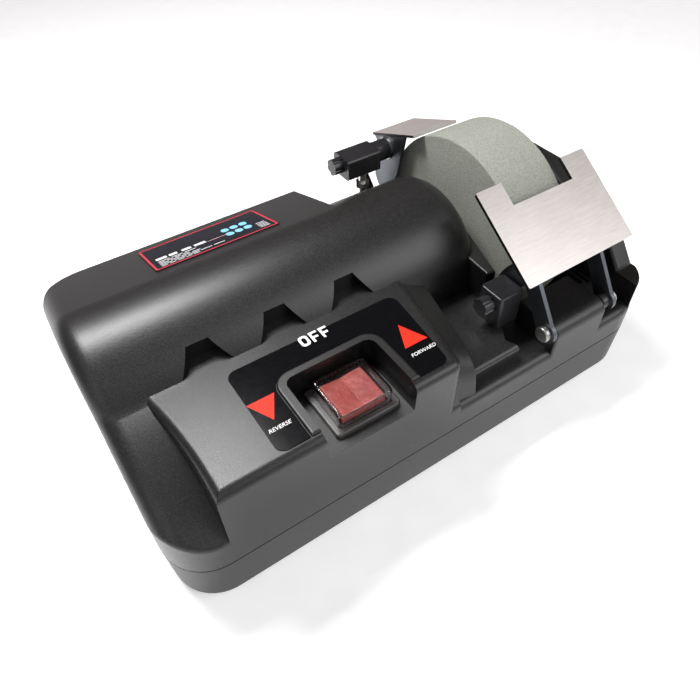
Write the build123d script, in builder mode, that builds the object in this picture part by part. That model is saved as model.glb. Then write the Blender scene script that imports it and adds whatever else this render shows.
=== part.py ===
"""Wet grinding sharpener: a 120 mm wheel turning slowly in a water trough, two tilting tool rests.

X runs along the machine towards the wheel, Y to the rear, Z up. The origin is at the middle of
the machine's box, on the surface that its feet stand on. All lengths are millimetres.
"""

from build123d import *
import math
import os

os.makedirs("parts", exist_ok=True)

# ---- Driving dimensions: housing ----
LENGTH = 307.0
WIDTH = 167.0
LEFT = -LENGTH / 2
FRONT = -87.5
BACK = FRONT + WIDTH
MID_Y = (FRONT + BACK) / 2
CORNER_R = 25.0
WALL = 3.0
FOOT_H = 3.0
FLOOR_Z = 5.0
SEAM_Z = 34.0
LIP_Z = 51.0
PLATFORM_Z = 61.0
DECK_Z = 88.5

# ---- Driving dimensions: wheel and shaft ----
WHEEL_R = 60.0
WHEEL_T = 40.0
WHEEL_X = 99.5
WHEEL_LEFT = WHEEL_X - WHEEL_T / 2
WHEEL_RIGHT = WHEEL_X + WHEEL_T / 2
SHAFT_Y = 14.7
SHAFT_Z = 67.9
SHAFT_R = 6.0
RUN_GAP = 0.05

# ---- Driving dimensions: barrel and back slope of the upper housing ----
BARREL_R = 43.6
BARREL_Z = 66.9
BARREL_END = 69.0
SLOPE = math.radians(17.9)
PLATEAU_END = 5.0
RAMP_TOP_Z = 87.0
RAMP_MID = (-58.0, 72.5)
RAMP_FOOT_Z = 50.3
OVER = 2.0
END_STEP = 0.02
DECK_RIGHT_FRONT = 1.5
DECK_RIGHT_BACK = 13.8
RIDGE_FRONT = (17.5, FRONT)
RIDGE_BACK = (28.0, -20.0)

# ---- Driving dimensions: gear train ----
PINION_TEETH = 12
IDLER_TEETH = 48
SMALL_TEETH = 14
OUTPUT_TEETH = 42
FAST_MODULE = 1.0
SLOW_MODULE = 1.25
IDLER_ANGLE = math.radians(250)
SLOW_CENTRES = SLOW_MODULE * (SMALL_TEETH + OUTPUT_TEETH) / 2
FAST_CENTRES = FAST_MODULE * (PINION_TEETH + IDLER_TEETH) / 2
IDLER_Y = SHAFT_Y + SLOW_CENTRES * math.cos(IDLER_ANGLE)
IDLER_Z = SHAFT_Z + SLOW_CENTRES * math.sin(IDLER_ANGLE)
MOTOR_Y = IDLER_Y + FAST_CENTRES
MOTOR_Z = IDLER_Z
MOTOR_R = 26.0
MOTOR_LEFT = -74.0
MOTOR_RIGHT = 12.0
MOTOR_SHAFT_R = 2.5

# ---- Driving dimensions: tool rests ----
FRONT_PIVOT = (-81.2, 63.9)
FRONT_TILT = math.radians(33.4)
FRONT_PLATE_W = 80.0
FRONT_PLATE_D = 57.1
FRONT_EDGE = (-22.6, 123.2)
NOTCH_W = 44.6
NOTCH_D = 13.8
PLATE_T = 2.0
ARM_T = 2.5
LEFT_ARM_X = 67.7
RIGHT_ARM_X = 114.5
REAR_TILT = math.radians(20.6)
REAR_EDGE = (45.9, 122.0)
REAR_PLATE_X = 71.5
REAR_PLATE_W = 33.2
REAR_PLATE_D = 44.4
REAR_PLATE_T = 1.6
REAR_PIVOT = (72.0, 102.4)

# ---- Driving dimensions: switch ----
SWITCH_X = -48.0
SWITCH_Y = -66.0
POCKET_Z = 72.5
POCKET_LEFT = -75.0
POCKET_RIGHT = -26.0
POCKET_BACK = -50.0

WELL_LEFT = 76.0
WELL_RIGHT = 134.5
WELL_FRONT = -58.0
WELL_BACK = 77.0

PIECES = {}


# ---- Shared outlines ----
def plan_outline(inset):
    """The machine's plan: a rectangle with round corners, moved in by inset."""
    with Locations((0, MID_Y)):
        RectangleRounded(LENGTH - 2 * inset, WIDTH - 2 * inset, CORNER_R - inset)


def side_outline(inset):
    """Cross-section of the left part: front ramp, barrel, back slope, moved in by inset.

    It runs OVER past the front and back walls, which the plan outline then trims.
    """
    radius = BARREL_R - inset
    ramp_z = RAMP_TOP_Z - inset
    ramp_y = SHAFT_Y - math.sqrt(radius**2 - (ramp_z - BARREL_Z) ** 2)
    crest_y = SHAFT_Y + radius * math.sin(SLOPE)
    crest_z = BARREL_Z + radius * math.cos(SLOPE)
    back_y = BACK + OVER
    back_z = crest_z - (back_y - crest_y) * math.tan(SLOPE)
    front_y = FRONT - OVER
    foot_z = RAMP_FOOT_Z - inset
    with BuildLine() as outline:
        Line((front_y, SEAM_Z), (front_y, foot_z))
        ThreePointArc((front_y, foot_z), (RAMP_MID[0], RAMP_MID[1] - inset), (ramp_y, ramp_z))
        ThreePointArc((ramp_y, ramp_z), (SHAFT_Y, BARREL_Z + radius), (crest_y, crest_z))
        Line((crest_y, crest_z), (back_y, back_z))
        Line((back_y, back_z), (back_y, SEAM_Z))
        Line((back_y, SEAM_Z), (front_y, SEAM_Z))
    make_face(outline.edges())


def nose_outline(inset):
    """Cross-section of the barrel alone: half a circle on upright sides."""
    radius = BARREL_R - inset
    with BuildLine() as outline:
        Line((SHAFT_Y - radius, SEAM_Z), (SHAFT_Y - radius, BARREL_Z))
        ThreePointArc(
            (SHAFT_Y - radius, BARREL_Z), (SHAFT_Y, BARREL_Z + radius), (SHAFT_Y + radius, BARREL_Z)
        )
        Line((SHAFT_Y + radius, BARREL_Z), (SHAFT_Y + radius, SEAM_Z))
        Line((SHAFT_Y + radius, SEAM_Z), (SHAFT_Y - radius, SEAM_Z))
    make_face(outline.edges())


def deck_outline(inset):
    """Plan of the raised control deck, whose left edge is bowed and right edge slants."""
    left_back = (-133.0 + inset, -20.0)
    left_mid = (-127.6 + inset, -52.0)
    left_front = (-126.5 + inset, FRONT + inset)
    right_front = (DECK_RIGHT_FRONT - inset, FRONT + inset)
    right_back = (DECK_RIGHT_BACK - inset, -20.0)
    with BuildLine() as outline:
        ThreePointArc(left_back, left_mid, left_front)
        Line(left_front, right_front)
        Line(right_front, right_back)
        Line(right_back, (right_back[0], 0))
        Line((right_back[0], 0), (left_back[0], 0))
        Line((left_back[0], 0), left_back)
    make_face(outline.edges())


def gear_face(teeth, module, phase_deg):
    """Straight-flanked gear face, cut a little thin so that meshed teeth keep backlash."""
    pitch_r = module * teeth / 2
    tip_r = pitch_r + 0.8 * module
    root_r = pitch_r - 1.15 * module
    flank = math.tan(math.radians(20)) / pitch_r
    half = 0.84 * math.pi / (2 * teeth)
    tip_half = half - flank * (tip_r - pitch_r)
    root_half = half + flank * (pitch_r - root_r)
    points = []
    for tooth in range(teeth):
        middle = math.radians(phase_deg) + 2 * math.pi * tooth / teeth
        for angle, radius in (
            (middle - root_half, root_r),
            (middle - tip_half, tip_r),
            (middle + tip_half, tip_r),
            (middle + root_half, root_r),
        ):
            points.append((radius * math.cos(angle), radius * math.sin(angle)))
    with BuildSketch() as face:
        with BuildLine() as outline:
            Polyline(*points, close=True)
        make_face(outline.edges())
    return face.sketch


def x_disc(x0, x1, y, z, outer_r, inner_r=0.0):
    """A disc, or a ring where inner_r is given, from x0 to x1 about an axis along X."""
    with BuildSketch(Plane.YZ.offset(x0)) as ring:
        with Locations((y, z)):
            Circle(outer_r)
            if inner_r > 0:
                Circle(inner_r, mode=Mode.SUBTRACT)
    extrude(ring.sketch, amount=x1 - x0)


def x_hole(x0, x1, y, z, radius):
    """Takes a round hole from x0 to x1 about an axis along X."""
    with BuildSketch(Plane.YZ.offset(x0)) as hole:
        with Locations((y, z)):
            Circle(radius)
    extrude(hole.sketch, amount=x1 - x0, mode=Mode.SUBTRACT)


def block(x0, x1, y0, y1, z0, z1, mode=Mode.ADD):
    """A box between the given limits."""
    with Locations(((x0 + x1) / 2, (y0 + y1) / 2, (z0 + z1) / 2)):
        Box(x1 - x0, y1 - y0, z1 - z0, mode=mode)


def z_disc(x, y, z0, z1, radius, mode=Mode.ADD):
    """A cylinder from z0 to z1 about an upright axis."""
    with Locations((x, y, (z0 + z1) / 2)):
        Cylinder(radius, z1 - z0, mode=mode)


# ---- Fixings shared by the two shells ----
CORNER_X = LENGTH / 2 - 12.8
CASE_SCREWS = [
    (-CORNER_X, FRONT + 12.8),
    (-CORNER_X, BACK - 12.8),
    (CORNER_X, FRONT + 12.8),
    (CORNER_X, BACK - 12.8),
    (-5.0, FRONT + 7.0),
    (20.0, BACK - 7.0),
]
FEET = [(-128, -62), (-128, 54), (122, -68), (122, 62)]
FOOT_R = 9.0
FOOT_STEM_R = 3.5
BOSS_R = 5.5
BOSS_TOP_Z = 48.5
SCREW_R = 1.9
SCREW_HEAD_R = 3.6
SCREW_HEAD_Z = 13.0
SCREW_TOP_Z = 46.0
GLAND_X = -115.0
GLAND_Z = 50.0
GLAND_NECK = 11.0

# ---- Lower housing: an open tray with screw bosses, motor cradles and a window for the trough ----
CRADLES = [(-62, -55), (-14, -7)]
CRADLE_TOP = 28.0
CRADLE_HALF = 34.0
TROUGH_LEFT = WELL_LEFT + 0.8
TROUGH_RIGHT = WELL_RIGHT - 0.8
TROUGH_FRONT = WELL_FRONT + 0.8
TROUGH_BACK = 75.2
TROUGH_T = 2.0
TROUGH_RIM_Z = 50.0
TROUGH_BEND_R = 40.0
WINDOW_BACK = 48.0
WINDOW_GAP = 1.0
BOARD = (-134.0, -94.0, -46.0, 24.0, 20.0)
BOARD_POSTS = [(-130, -42), (-98, -42), (-130, 20), (-98, 20)]
VENT_XS = [-88 + 9 * slot for slot in range(5)]

with BuildPart() as lower_housing:
    with BuildSketch(Plane.XY.offset(FOOT_H)):
        plan_outline(1.0)
    with BuildSketch(Plane.XY.offset(SEAM_Z)):
        plan_outline(0.0)
    loft()
    fillet(lower_housing.edges().group_by(Axis.Z)[0], 4.0)
    with BuildSketch(Plane.XY.offset(FLOOR_Z)):
        plan_outline(WALL + 1.0)
    extrude(amount=SEAM_Z - FLOOR_Z, mode=Mode.SUBTRACT)
    with BuildSketch(Plane.XY.offset(SEAM_Z - 0.8)):
        plan_outline(-1.0)
        with Locations((0, MID_Y)):
            RectangleRounded(LENGTH - 1.6, WIDTH - 1.6, CORNER_R - 0.8, mode=Mode.SUBTRACT)
    extrude(amount=1.0, mode=Mode.SUBTRACT)
    for boss_x, boss_y in CASE_SCREWS:
        z_disc(boss_x, boss_y, FLOOR_Z - 0.5, SEAM_Z, BOSS_R)
    for post_x, post_y in BOARD_POSTS:
        z_disc(post_x, post_y, FLOOR_Z - 0.5, BOARD[4], 3.0)
    for cradle_left, cradle_right in CRADLES:
        block(
            cradle_left, cradle_right, MOTOR_Y - CRADLE_HALF, MOTOR_Y + CRADLE_HALF,
            FLOOR_Z - 0.5, CRADLE_TOP,
        )
        x_hole(cradle_left - 1, cradle_right + 1, MOTOR_Y, MOTOR_Z, MOTOR_R)
    for boss_x, boss_y in CASE_SCREWS:
        z_disc(boss_x, boss_y, FOOT_H - 1, SEAM_Z + 1, SCREW_R + 0.3, mode=Mode.SUBTRACT)
        z_disc(boss_x, boss_y, FOOT_H - 1, SCREW_HEAD_Z, SCREW_HEAD_R + 0.5, mode=Mode.SUBTRACT)
    for foot_x, foot_y in FEET:
        z_disc(foot_x, foot_y, FOOT_H - 1, FLOOR_Z + 1, FOOT_STEM_R, mode=Mode.SUBTRACT)
    for vent_x in VENT_XS:
        block(vent_x - 1.5, vent_x + 1.5, -50, -14, FOOT_H - 1, FLOOR_Z + 1, mode=Mode.SUBTRACT)
    block(
        TROUGH_LEFT - WINDOW_GAP, TROUGH_RIGHT + WINDOW_GAP, TROUGH_FRONT - WINDOW_GAP, WINDOW_BACK,
        FOOT_H - 1, FLOOR_Z + 1, mode=Mode.SUBTRACT,
    )
PIECES["lower_housing"] = lower_housing

# ---- Water trough: a tray whose back wall follows the wheel, and the seal round its foot ----
with BuildPart() as water_trough:
    block(TROUGH_LEFT, TROUGH_RIGHT, TROUGH_FRONT, TROUGH_BACK, FOOT_H, TROUGH_RIM_Z)
    fillet(
        water_trough.edges().filter_by(Axis.X).group_by(Axis.Z)[0].sort_by(Axis.Y)[-1],
        TROUGH_BEND_R + TROUGH_T,
    )
    trough_top = water_trough.faces().sort_by(Axis.Z)[-1]
    offset(amount=-TROUGH_T, openings=trough_top)
PIECES["water_trough"] = water_trough

with BuildPart() as trough_seal:
    block(
        TROUGH_LEFT - WINDOW_GAP, TROUGH_RIGHT + WINDOW_GAP, TROUGH_FRONT - WINDOW_GAP, WINDOW_BACK,
        FOOT_H, FLOOR_Z,
    )
    block(
        TROUGH_LEFT - 0.7, TROUGH_RIGHT + 0.7, TROUGH_FRONT - 0.7, WINDOW_BACK,
        FLOOR_Z, FLOOR_Z + 1.5,
    )
    block(TROUGH_LEFT, TROUGH_RIGHT, TROUGH_FRONT, WINDOW_BACK - 1.5, 0, 10, mode=Mode.SUBTRACT)
    block(TROUGH_LEFT, TROUGH_RIGHT, 0, WINDOW_BACK + 5, FLOOR_Z, 10, mode=Mode.SUBTRACT)
PIECES["trough_seal"] = trough_seal

# ---- Rubber feet and case screws ----
with BuildPart() as rubber_feet:
    for foot_x, foot_y in FEET:
        with Locations((foot_x, foot_y, 0)):
            Cone(FOOT_R, FOOT_R - 1.5, FOOT_H, align=(Align.CENTER, Align.CENTER, Align.MIN))
        z_disc(foot_x, foot_y, FOOT_H - 0.5, FLOOR_Z + 0.8, FOOT_STEM_R)
PIECES["rubber_feet"] = rubber_feet

with BuildPart() as case_screws:
    for boss_x, boss_y in CASE_SCREWS:
        z_disc(boss_x, boss_y, SCREW_HEAD_Z - 3, SCREW_HEAD_Z, SCREW_HEAD_R)
        z_disc(boss_x, boss_y, SCREW_HEAD_Z - 0.5, SCREW_TOP_Z, SCREW_R)
PIECES["case_screws"] = case_screws

# ---- Upper housing: outer blocks, each with its own rounded edges ----
SHOULDER_R = 10.0
KINK_R = 6.0
RIM_R = 4.0


def hood_solid(inset):
    """The left part, or the space inside it when inset is the wall."""
    left = LEFT + inset + END_STEP
    with BuildPart() as hood:
        with BuildSketch(Plane.YZ.offset(left)):
            side_outline(inset)
        extrude(amount=PLATEAU_END - inset - left)
        kink_z = RAMP_TOP_Z - inset
        kink = [
            edge
            for edge in hood.edges().filter_by(Axis.X)
            if abs(edge.center().Z - kink_z) < 0.5 and edge.center().Y < SHAFT_Y
        ]
        fillet(kink, KINK_R)
        left_end = hood.faces().sort_by(Axis.X)[0]
        shoulder = [
            edge
            for edge in left_end.edges()
            if edge.center().Z > RAMP_FOOT_Z and abs(edge.tangent_at(0.5).Z) < 0.98
        ]
        fillet(shoulder, SHOULDER_R - inset)
        with BuildSketch(Plane.XY.offset(SEAM_Z)):
            plan_outline(inset)
        extrude(amount=100, mode=Mode.INTERSECT)
        if inset == 0:
            rim = [
                edge
                for edge in hood.edges()
                if edge.center().X < PLATEAU_END - 1
                and edge.center().Z > RAMP_FOOT_Z
                and not FRONT + 20 < edge.center().Y < BACK - 18
                and abs(edge.tangent_at(0.5).Z) < 0.9
            ]
            fillet(rim, RIM_R)
    return hood.part


def nose_solid(inset):
    """The barrel's right-hand end, or the space inside it when inset is the wall."""
    with BuildPart() as nose:
        with BuildSketch(Plane.YZ.offset(-20)):
            nose_outline(inset)
        extrude(amount=BARREL_END - inset + 20)
        nose_end = [
            edge
            for edge in nose.edges()
            if edge.center().X > BARREL_END - inset - 0.1 and edge.center().Z > SEAM_Z + 1
        ]
        fillet(nose_end, 15.0 - inset)
    return nose.part


with BuildPart() as deck_block:
    with BuildSketch(Plane.XY.offset(SEAM_Z)):
        deck_outline(0.0)
    extrude(amount=DECK_Z - SEAM_Z)
    fillet(deck_block.edges().filter_by(Axis.Z).group_by(Axis.Y)[0].sort_by(Axis.X)[-1], 5.5)
    deck_rim = [
        edge
        for edge in deck_block.edges()
        if edge.center().Z > DECK_Z - 1 and edge.center().Y < -18
    ]
    fillet(deck_rim, 4.5)

FLANK_WIDTH = 18.0
FLANK_RISE = 8.0
FLANK_BEND_R = 18.0
FLANK_BEND_AT = (19.0, 72.3)
FLANK_PITCH = 9.4
FLANK_FACE = 79.0
FLANK_FACE_DROP = 30.0
FLANK_BACK = 70.0
FLANK_RIDGE_R = 1.5
FLANK_RIDGE_END = 12.0


def flank_solid():
    """The shoulder right of the deck, which falls to a ridge and bends down to the front wall."""
    along = Vector(RIDGE_BACK[0] - RIDGE_FRONT[0], RIDGE_BACK[1] - RIDGE_FRONT[1], 0).normalized()
    to_deck = Vector(-along.Y, along.X, 0)
    side_plane = Plane(
        origin=(RIDGE_FRONT[0], RIDGE_FRONT[1], 0), x_dir=along, z_dir=to_deck * -1
    )
    pitch = math.radians(FLANK_PITCH)
    top_run = FLANK_BACK - FLANK_BEND_AT[0]
    back_top = (FLANK_BACK, FLANK_BEND_AT[1] + top_run * math.tan(pitch))
    face_run = FLANK_FACE_DROP / math.tan(math.radians(FLANK_FACE))
    with BuildPart() as flank:
        with BuildSketch(side_plane) as side:
            with BuildLine() as outline:
                Line(back_top, FLANK_BEND_AT)
                bend = JernArc(
                    FLANK_BEND_AT, (-math.cos(pitch), -math.sin(pitch)), FLANK_BEND_R,
                    FLANK_FACE - FLANK_PITCH,
                )
                foot = (bend.position_at(1).X - face_run, bend.position_at(1).Y - FLANK_FACE_DROP)
                Line(bend.position_at(1), foot)
                Line(foot, (FLANK_BACK, foot[1]))
                Line((FLANK_BACK, foot[1]), back_top)
            make_face(outline.edges())
        lift = to_deck * FLANK_WIDTH + Vector(0, 0, FLANK_RISE)
        extrude(side.sketch, amount=lift.length, dir=lift.normalized())
        ridge_edges = [
            edge
            for edge in flank.edges()
            if edge.center().Z > FLANK_BEND_AT[1] - FLANK_BEND_R - FLANK_RIDGE_END
            and side_plane.to_local_coords(edge.center()).Z > -0.1
            and edge.center().Y < RIDGE_BACK[1]
        ]
        fillet(ridge_edges, FLANK_RIDGE_R)
        with BuildSketch(Plane.XY.offset(SEAM_Z)):
            plan_outline(0.0)
        extrude(amount=100, mode=Mode.INTERSECT)
    return flank.part


with BuildPart() as base_block:
    with BuildSketch(Plane.XY.offset(SEAM_Z)):
        plan_outline(0.0)
    extrude(amount=LIP_Z - SEAM_Z)
    fillet(base_block.edges().group_by(Axis.Z)[-1], 5.0)

STEP_IN = 8.5
PLATFORM_EDGE = [(52.2, FRONT + STEP_IN), (48.6, -71.0), (62.2, -51.7), (62.2, -20.0)]


def front_platform_outline():
    """Plan of the low platform in front of the barrel; its right edge is notched."""
    with BuildLine() as outline:
        Polyline((-20, FRONT + STEP_IN), *PLATFORM_EDGE, (-20, -20), close=True)
    make_face(outline.edges())


with BuildPart() as platforms:
    with BuildSketch(Plane.XY.offset(SEAM_Z)):
        front_platform_outline()
    extrude(amount=PLATFORM_Z - SEAM_Z)
    block(-20, WELL_RIGHT + 2, 40, BACK, SEAM_Z, PLATFORM_Z)
    fillet(platforms.edges().filter_by(Axis.X).group_by(Axis.Z)[-1].group_by(Axis.Y)[0], 3.0)
    fillet(platforms.edges().filter_by(Axis.X).group_by(Axis.Z)[-1].group_by(Axis.Y)[-1], 2.0)

PEDESTAL_LEFT = LEFT_ARM_X + ARM_T + 0.6
PEDESTAL_RIGHT = 109.5
PEDESTAL_TOP = 68.5
with BuildPart() as pedestal:
    block(PEDESTAL_LEFT, PEDESTAL_RIGHT, FRONT, WELL_FRONT, SEAM_Z, PEDESTAL_TOP)
    fillet(pedestal.edges().filter_by(Axis.X).group_by(Axis.Z)[-1].sort_by(Axis.Y)[0], 7.0)
    fillet(pedestal.faces().sort_by(Axis.Z)[-1].edges().filter_by(Axis.Y), 1.5)

GUARD_LEFT = 137.0
GUARD_RIGHT = 150.5
GUARD_TOP = 105.0


def guard_outline():
    """Side view of the guard beyond the wheel."""
    with BuildLine() as outline:
        Polyline(
            (-82, SEAM_Z),
            (-78, LIP_Z),
            (-70, 68),
            (-60, 80),
            (-2, GUARD_TOP),
            (34, GUARD_TOP),
            (66, 88),
            (73, PLATFORM_Z),
            (73, SEAM_Z),
            close=True,
        )
    make_face(outline.edges())


with BuildPart() as end_guard:
    with BuildSketch(Plane.YZ.offset(GUARD_LEFT)):
        guard_outline()
    extrude(amount=GUARD_RIGHT - GUARD_LEFT)
    guard_top = [
        edge
        for edge in end_guard.edges()
        if edge.center().Z > LIP_Z + 1 and abs(edge.tangent_at(0.5).X) < 0.1
    ]
    fillet(guard_top, 2.5)
    with BuildSketch(Plane.XY.offset(SEAM_Z)):
        plan_outline(0.5)
    extrude(amount=100, mode=Mode.INTERSECT)

with BuildPart() as guard_lug:
    block(GUARD_LEFT, GUARD_RIGHT, FRONT, -68, SEAM_Z, 66)
    with BuildSketch(Plane.XY.offset(SEAM_Z)):
        plan_outline(0.5)
    extrude(amount=100, mode=Mode.INTERSECT)

RIB_TOP = 83.0
with BuildPart() as splash_rib:
    with BuildSketch(Plane.XY.offset(SEAM_Z + 2)):
        with BuildLine() as rib_line:
            Polyline((58, -41.5), (63.5, -42.5), (75.6, -4), (74, -1.5), (60, -1.5), close=True)
        make_face(rib_line.edges())
    extrude(amount=RIB_TOP - SEAM_Z - 2)
    fillet(splash_rib.faces().sort_by(Axis.Z)[-1].edges(), 1.2)

RIM_W = 4.5
RIM_H = 1.4
with BuildPart() as pocket_rim:
    with BuildSketch(Plane.XY.offset(DECK_Z - 2)):
        with Locations(((POCKET_LEFT + POCKET_RIGHT) / 2, (POCKET_BACK + RIM_W + FRONT - 20) / 2)):
            RectangleRounded(
                POCKET_RIGHT - POCKET_LEFT + 2 * RIM_W, POCKET_BACK + RIM_W - FRONT + 20, 9.0
            )
    extrude(amount=2 + RIM_H)
    block(-200, 200, FRONT - 30, FRONT + 4.5, 0, 200, mode=Mode.SUBTRACT)
    fillet(pocket_rim.edges().group_by(Axis.Z)[-1], 1.3)

with BuildPart() as outer_form:
    add(base_block.part)
    add(hood_solid(0.0))
    add(platforms.part)
    add(nose_solid(0.0))
    add(deck_block.part)
    add(flank_solid())
    add(pedestal.part)
    add(end_guard.part)
    add(guard_lug.part)
    add(splash_rib.part)
    add(pocket_rim.part)

# ---- Upper housing: the spaces inside and the recesses outside ----
with BuildPart() as deck_space:
    with BuildSketch(Plane.XY.offset(SEAM_Z)):
        deck_outline(WALL)
    extrude(amount=DECK_Z - WALL - SEAM_Z)

with BuildPart() as inner_space:
    add(hood_solid(WALL))
    add(nose_solid(WALL))
    add(deck_space.part)
    with BuildSketch(Plane.XY.offset(SEAM_Z)):
        plan_outline(WALL)
    extrude(amount=LIP_Z - WALL - SEAM_Z)
    block(-20, 45, FRONT + STEP_IN + WALL, -20, SEAM_Z, PLATFORM_Z - WALL)
    block(-20, WELL_LEFT - WALL, 40, BACK - WALL, SEAM_Z, PLATFORM_Z - WALL)
    block(PEDESTAL_LEFT + WALL, PEDESTAL_RIGHT - WALL, FRONT + WALL, WELL_FRONT - WALL, 40, 57)
    with BuildSketch(Plane.YZ.offset(GUARD_LEFT + WALL)):
        guard_outline()
        offset(amount=-WALL)
    extrude(amount=GUARD_RIGHT - GUARD_LEFT - 2 * WALL)

with BuildPart() as pocket_space:
    with BuildSketch(Plane.XY.offset(POCKET_Z)):
        with Locations(((POCKET_LEFT + POCKET_RIGHT) / 2, (POCKET_BACK + FRONT - 20.3) / 2)):
            RectangleRounded(POCKET_RIGHT - POCKET_LEFT - 2, POCKET_BACK - FRONT + 19.7, 4.0)
    with BuildSketch(Plane.XY.offset(DECK_Z + 4)):
        with Locations(((POCKET_LEFT + POCKET_RIGHT) / 2, (POCKET_BACK + FRONT - 20) / 2)):
            RectangleRounded(POCKET_RIGHT - POCKET_LEFT, POCKET_BACK - FRONT + 20, 5.0)
    loft()

GRIP_CENTRES = [-99.6, -59.0, -18.6]


def grip_outline(centre_x, bottom_half, top_half, top_z, grow):
    """Trapezium of a grip recess at one depth, made larger by grow for the wall round it."""
    with BuildLine() as outline:
        Polyline(
            (centre_x - bottom_half - grow, DECK_Z - grow),
            (centre_x + bottom_half + grow, DECK_Z - grow),
            (centre_x + top_half + grow, top_z + grow),
            (centre_x - top_half - grow, top_z + grow),
            close=True,
        )
    make_face(outline.edges())


def grip_solids(grow):
    """The three grip recesses cut into the foot of the barrel."""
    with BuildPart() as grips:
        for grip_x in GRIP_CENTRES:
            with BuildSketch(Plane.XZ.offset(34)) as grip_front:
                grip_outline(grip_x, 17.0, 7.5, 103.0, grow)
            with BuildSketch(Plane.XZ.offset(13 - grow)) as grip_back:
                grip_outline(grip_x, 9.5, 5.5, 99.0, grow)
            loft([grip_front.sketch, grip_back.sketch])
    return grips.part


with BuildPart() as liners:
    block(
        POCKET_LEFT - 2.5, POCKET_RIGHT + 2.5, FRONT, POCKET_BACK + 2.5, POCKET_Z - 2.5, DECK_Z,
    )
    add(grip_solids(2.5))
    block(WELL_LEFT - WALL, WELL_RIGHT + 2.5, WELL_FRONT - WALL, BACK, SEAM_Z, PLATFORM_Z)
    for boss_x, boss_y in CASE_SCREWS:
        z_disc(boss_x, boss_y, SEAM_Z, BOSS_TOP_Z, BOSS_R)
    add(outer_form.part, mode=Mode.INTERSECT)

SWITCH_BODY_W = 30.0
SWITCH_BODY_D = 25.0
SEAL_R = 8.0
with BuildPart() as upper_housing:
    add(outer_form.part)
    add(inner_space.part, mode=Mode.SUBTRACT)
    add(liners.part)
    add(pocket_space.part, mode=Mode.SUBTRACT)
    add(grip_solids(0.0), mode=Mode.SUBTRACT)
    block(WELL_LEFT, WELL_RIGHT, WELL_FRONT, WELL_BACK, 0, 200, mode=Mode.SUBTRACT)
    x_hole(BARREL_END - 10, BARREL_END + 3, SHAFT_Y, SHAFT_Z, SEAL_R)
    x_hole(PEDESTAL_LEFT - 1, PEDESTAL_LEFT + 14, *FRONT_PIVOT, 2.5)
    x_hole(PEDESTAL_RIGHT - 14, PEDESTAL_RIGHT + 1, *FRONT_PIVOT, 2.5)
    z_disc(65.3, 70.0, PLATFORM_Z - 4, PLATFORM_Z + 1, 1.6, mode=Mode.SUBTRACT)
    block(
        SWITCH_X - SWITCH_BODY_W / 2, SWITCH_X + SWITCH_BODY_W / 2,
        SWITCH_Y - SWITCH_BODY_D / 2, SWITCH_Y + SWITCH_BODY_D / 2,
        POCKET_Z - 5, POCKET_Z + 1, mode=Mode.SUBTRACT,
    )
    for boss_x, boss_y in CASE_SCREWS:
        z_disc(boss_x, boss_y, SEAM_Z - 1, SCREW_TOP_Z, SCREW_R, mode=Mode.SUBTRACT)
    with BuildSketch(Plane.XZ.offset(-BACK - 1)) as gland_hole:
        with Locations((GLAND_X, GLAND_Z)):
            Rectangle(GLAND_NECK, GLAND_NECK)
    extrude(gland_hole.sketch, amount=10, mode=Mode.SUBTRACT)
PIECES["upper_housing"] = upper_housing

# ---- Cable gland in the back wall ----
with BuildPart() as cable_gland:
    with BuildSketch(Plane.XZ.offset(-BACK - 6)) as gland_tip:
        with Locations((GLAND_X, GLAND_Z)):
            Circle(5.0)
    extrude(gland_tip.sketch, amount=6)
    with BuildSketch(Plane.XZ.offset(-BACK - 3)) as gland_flange:
        with Locations((GLAND_X, GLAND_Z)):
            Circle(8.5)
    extrude(gland_flange.sketch, amount=3)
    with BuildSketch(Plane.XZ.offset(-BACK)) as gland_barrel:
        with Locations((GLAND_X, GLAND_Z)):
            Rectangle(GLAND_NECK, GLAND_NECK)
    extrude(gland_barrel.sketch, amount=9)
    with BuildSketch(Plane.XZ.offset(-BACK + WALL)) as gland_nut:
        with Locations((GLAND_X, GLAND_Z)):
            RegularPolygon(9.0, 6)
    extrude(gland_nut.sketch, amount=4)
    with BuildSketch(Plane.XZ.offset(-BACK - 7)) as gland_bore:
        with Locations((GLAND_X, GLAND_Z)):
            Circle(3.6)
    extrude(gland_bore.sketch, amount=20, mode=Mode.SUBTRACT)
PIECES["cable_gland"] = cable_gland

# ---- Control decal on the deck and rating label on the back slope ----
DECAL_T = 0.4
DECAL_LEFT = -95.2
DECAL_BACK = -31.0
DECAL_FRONT = -83.0
with BuildPart() as control_decal:
    with BuildSketch(Plane.XY.offset(DECK_Z)) as decal_face:
        with BuildLine() as decal_line:
            FilletPolyline(
                (DECAL_LEFT, DECAL_FRONT),
                (-4.0, DECAL_FRONT),
                (1.0, DECAL_BACK),
                (DECAL_LEFT, DECAL_BACK),
                radius=5.0,
                close=True,
            )
        make_face(decal_line.edges())
        with Locations(((POCKET_LEFT + POCKET_RIGHT) / 2, (POCKET_BACK + RIM_W + FRONT - 20) / 2)):
            RectangleRounded(
                POCKET_RIGHT - POCKET_LEFT + 2 * RIM_W + 0.6,
                POCKET_BACK + RIM_W - FRONT + 20.6,
                9.3,
                mode=Mode.SUBTRACT,
            )
    extrude(decal_face.sketch, amount=DECAL_T)
PIECES["control_decal"] = control_decal

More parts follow.
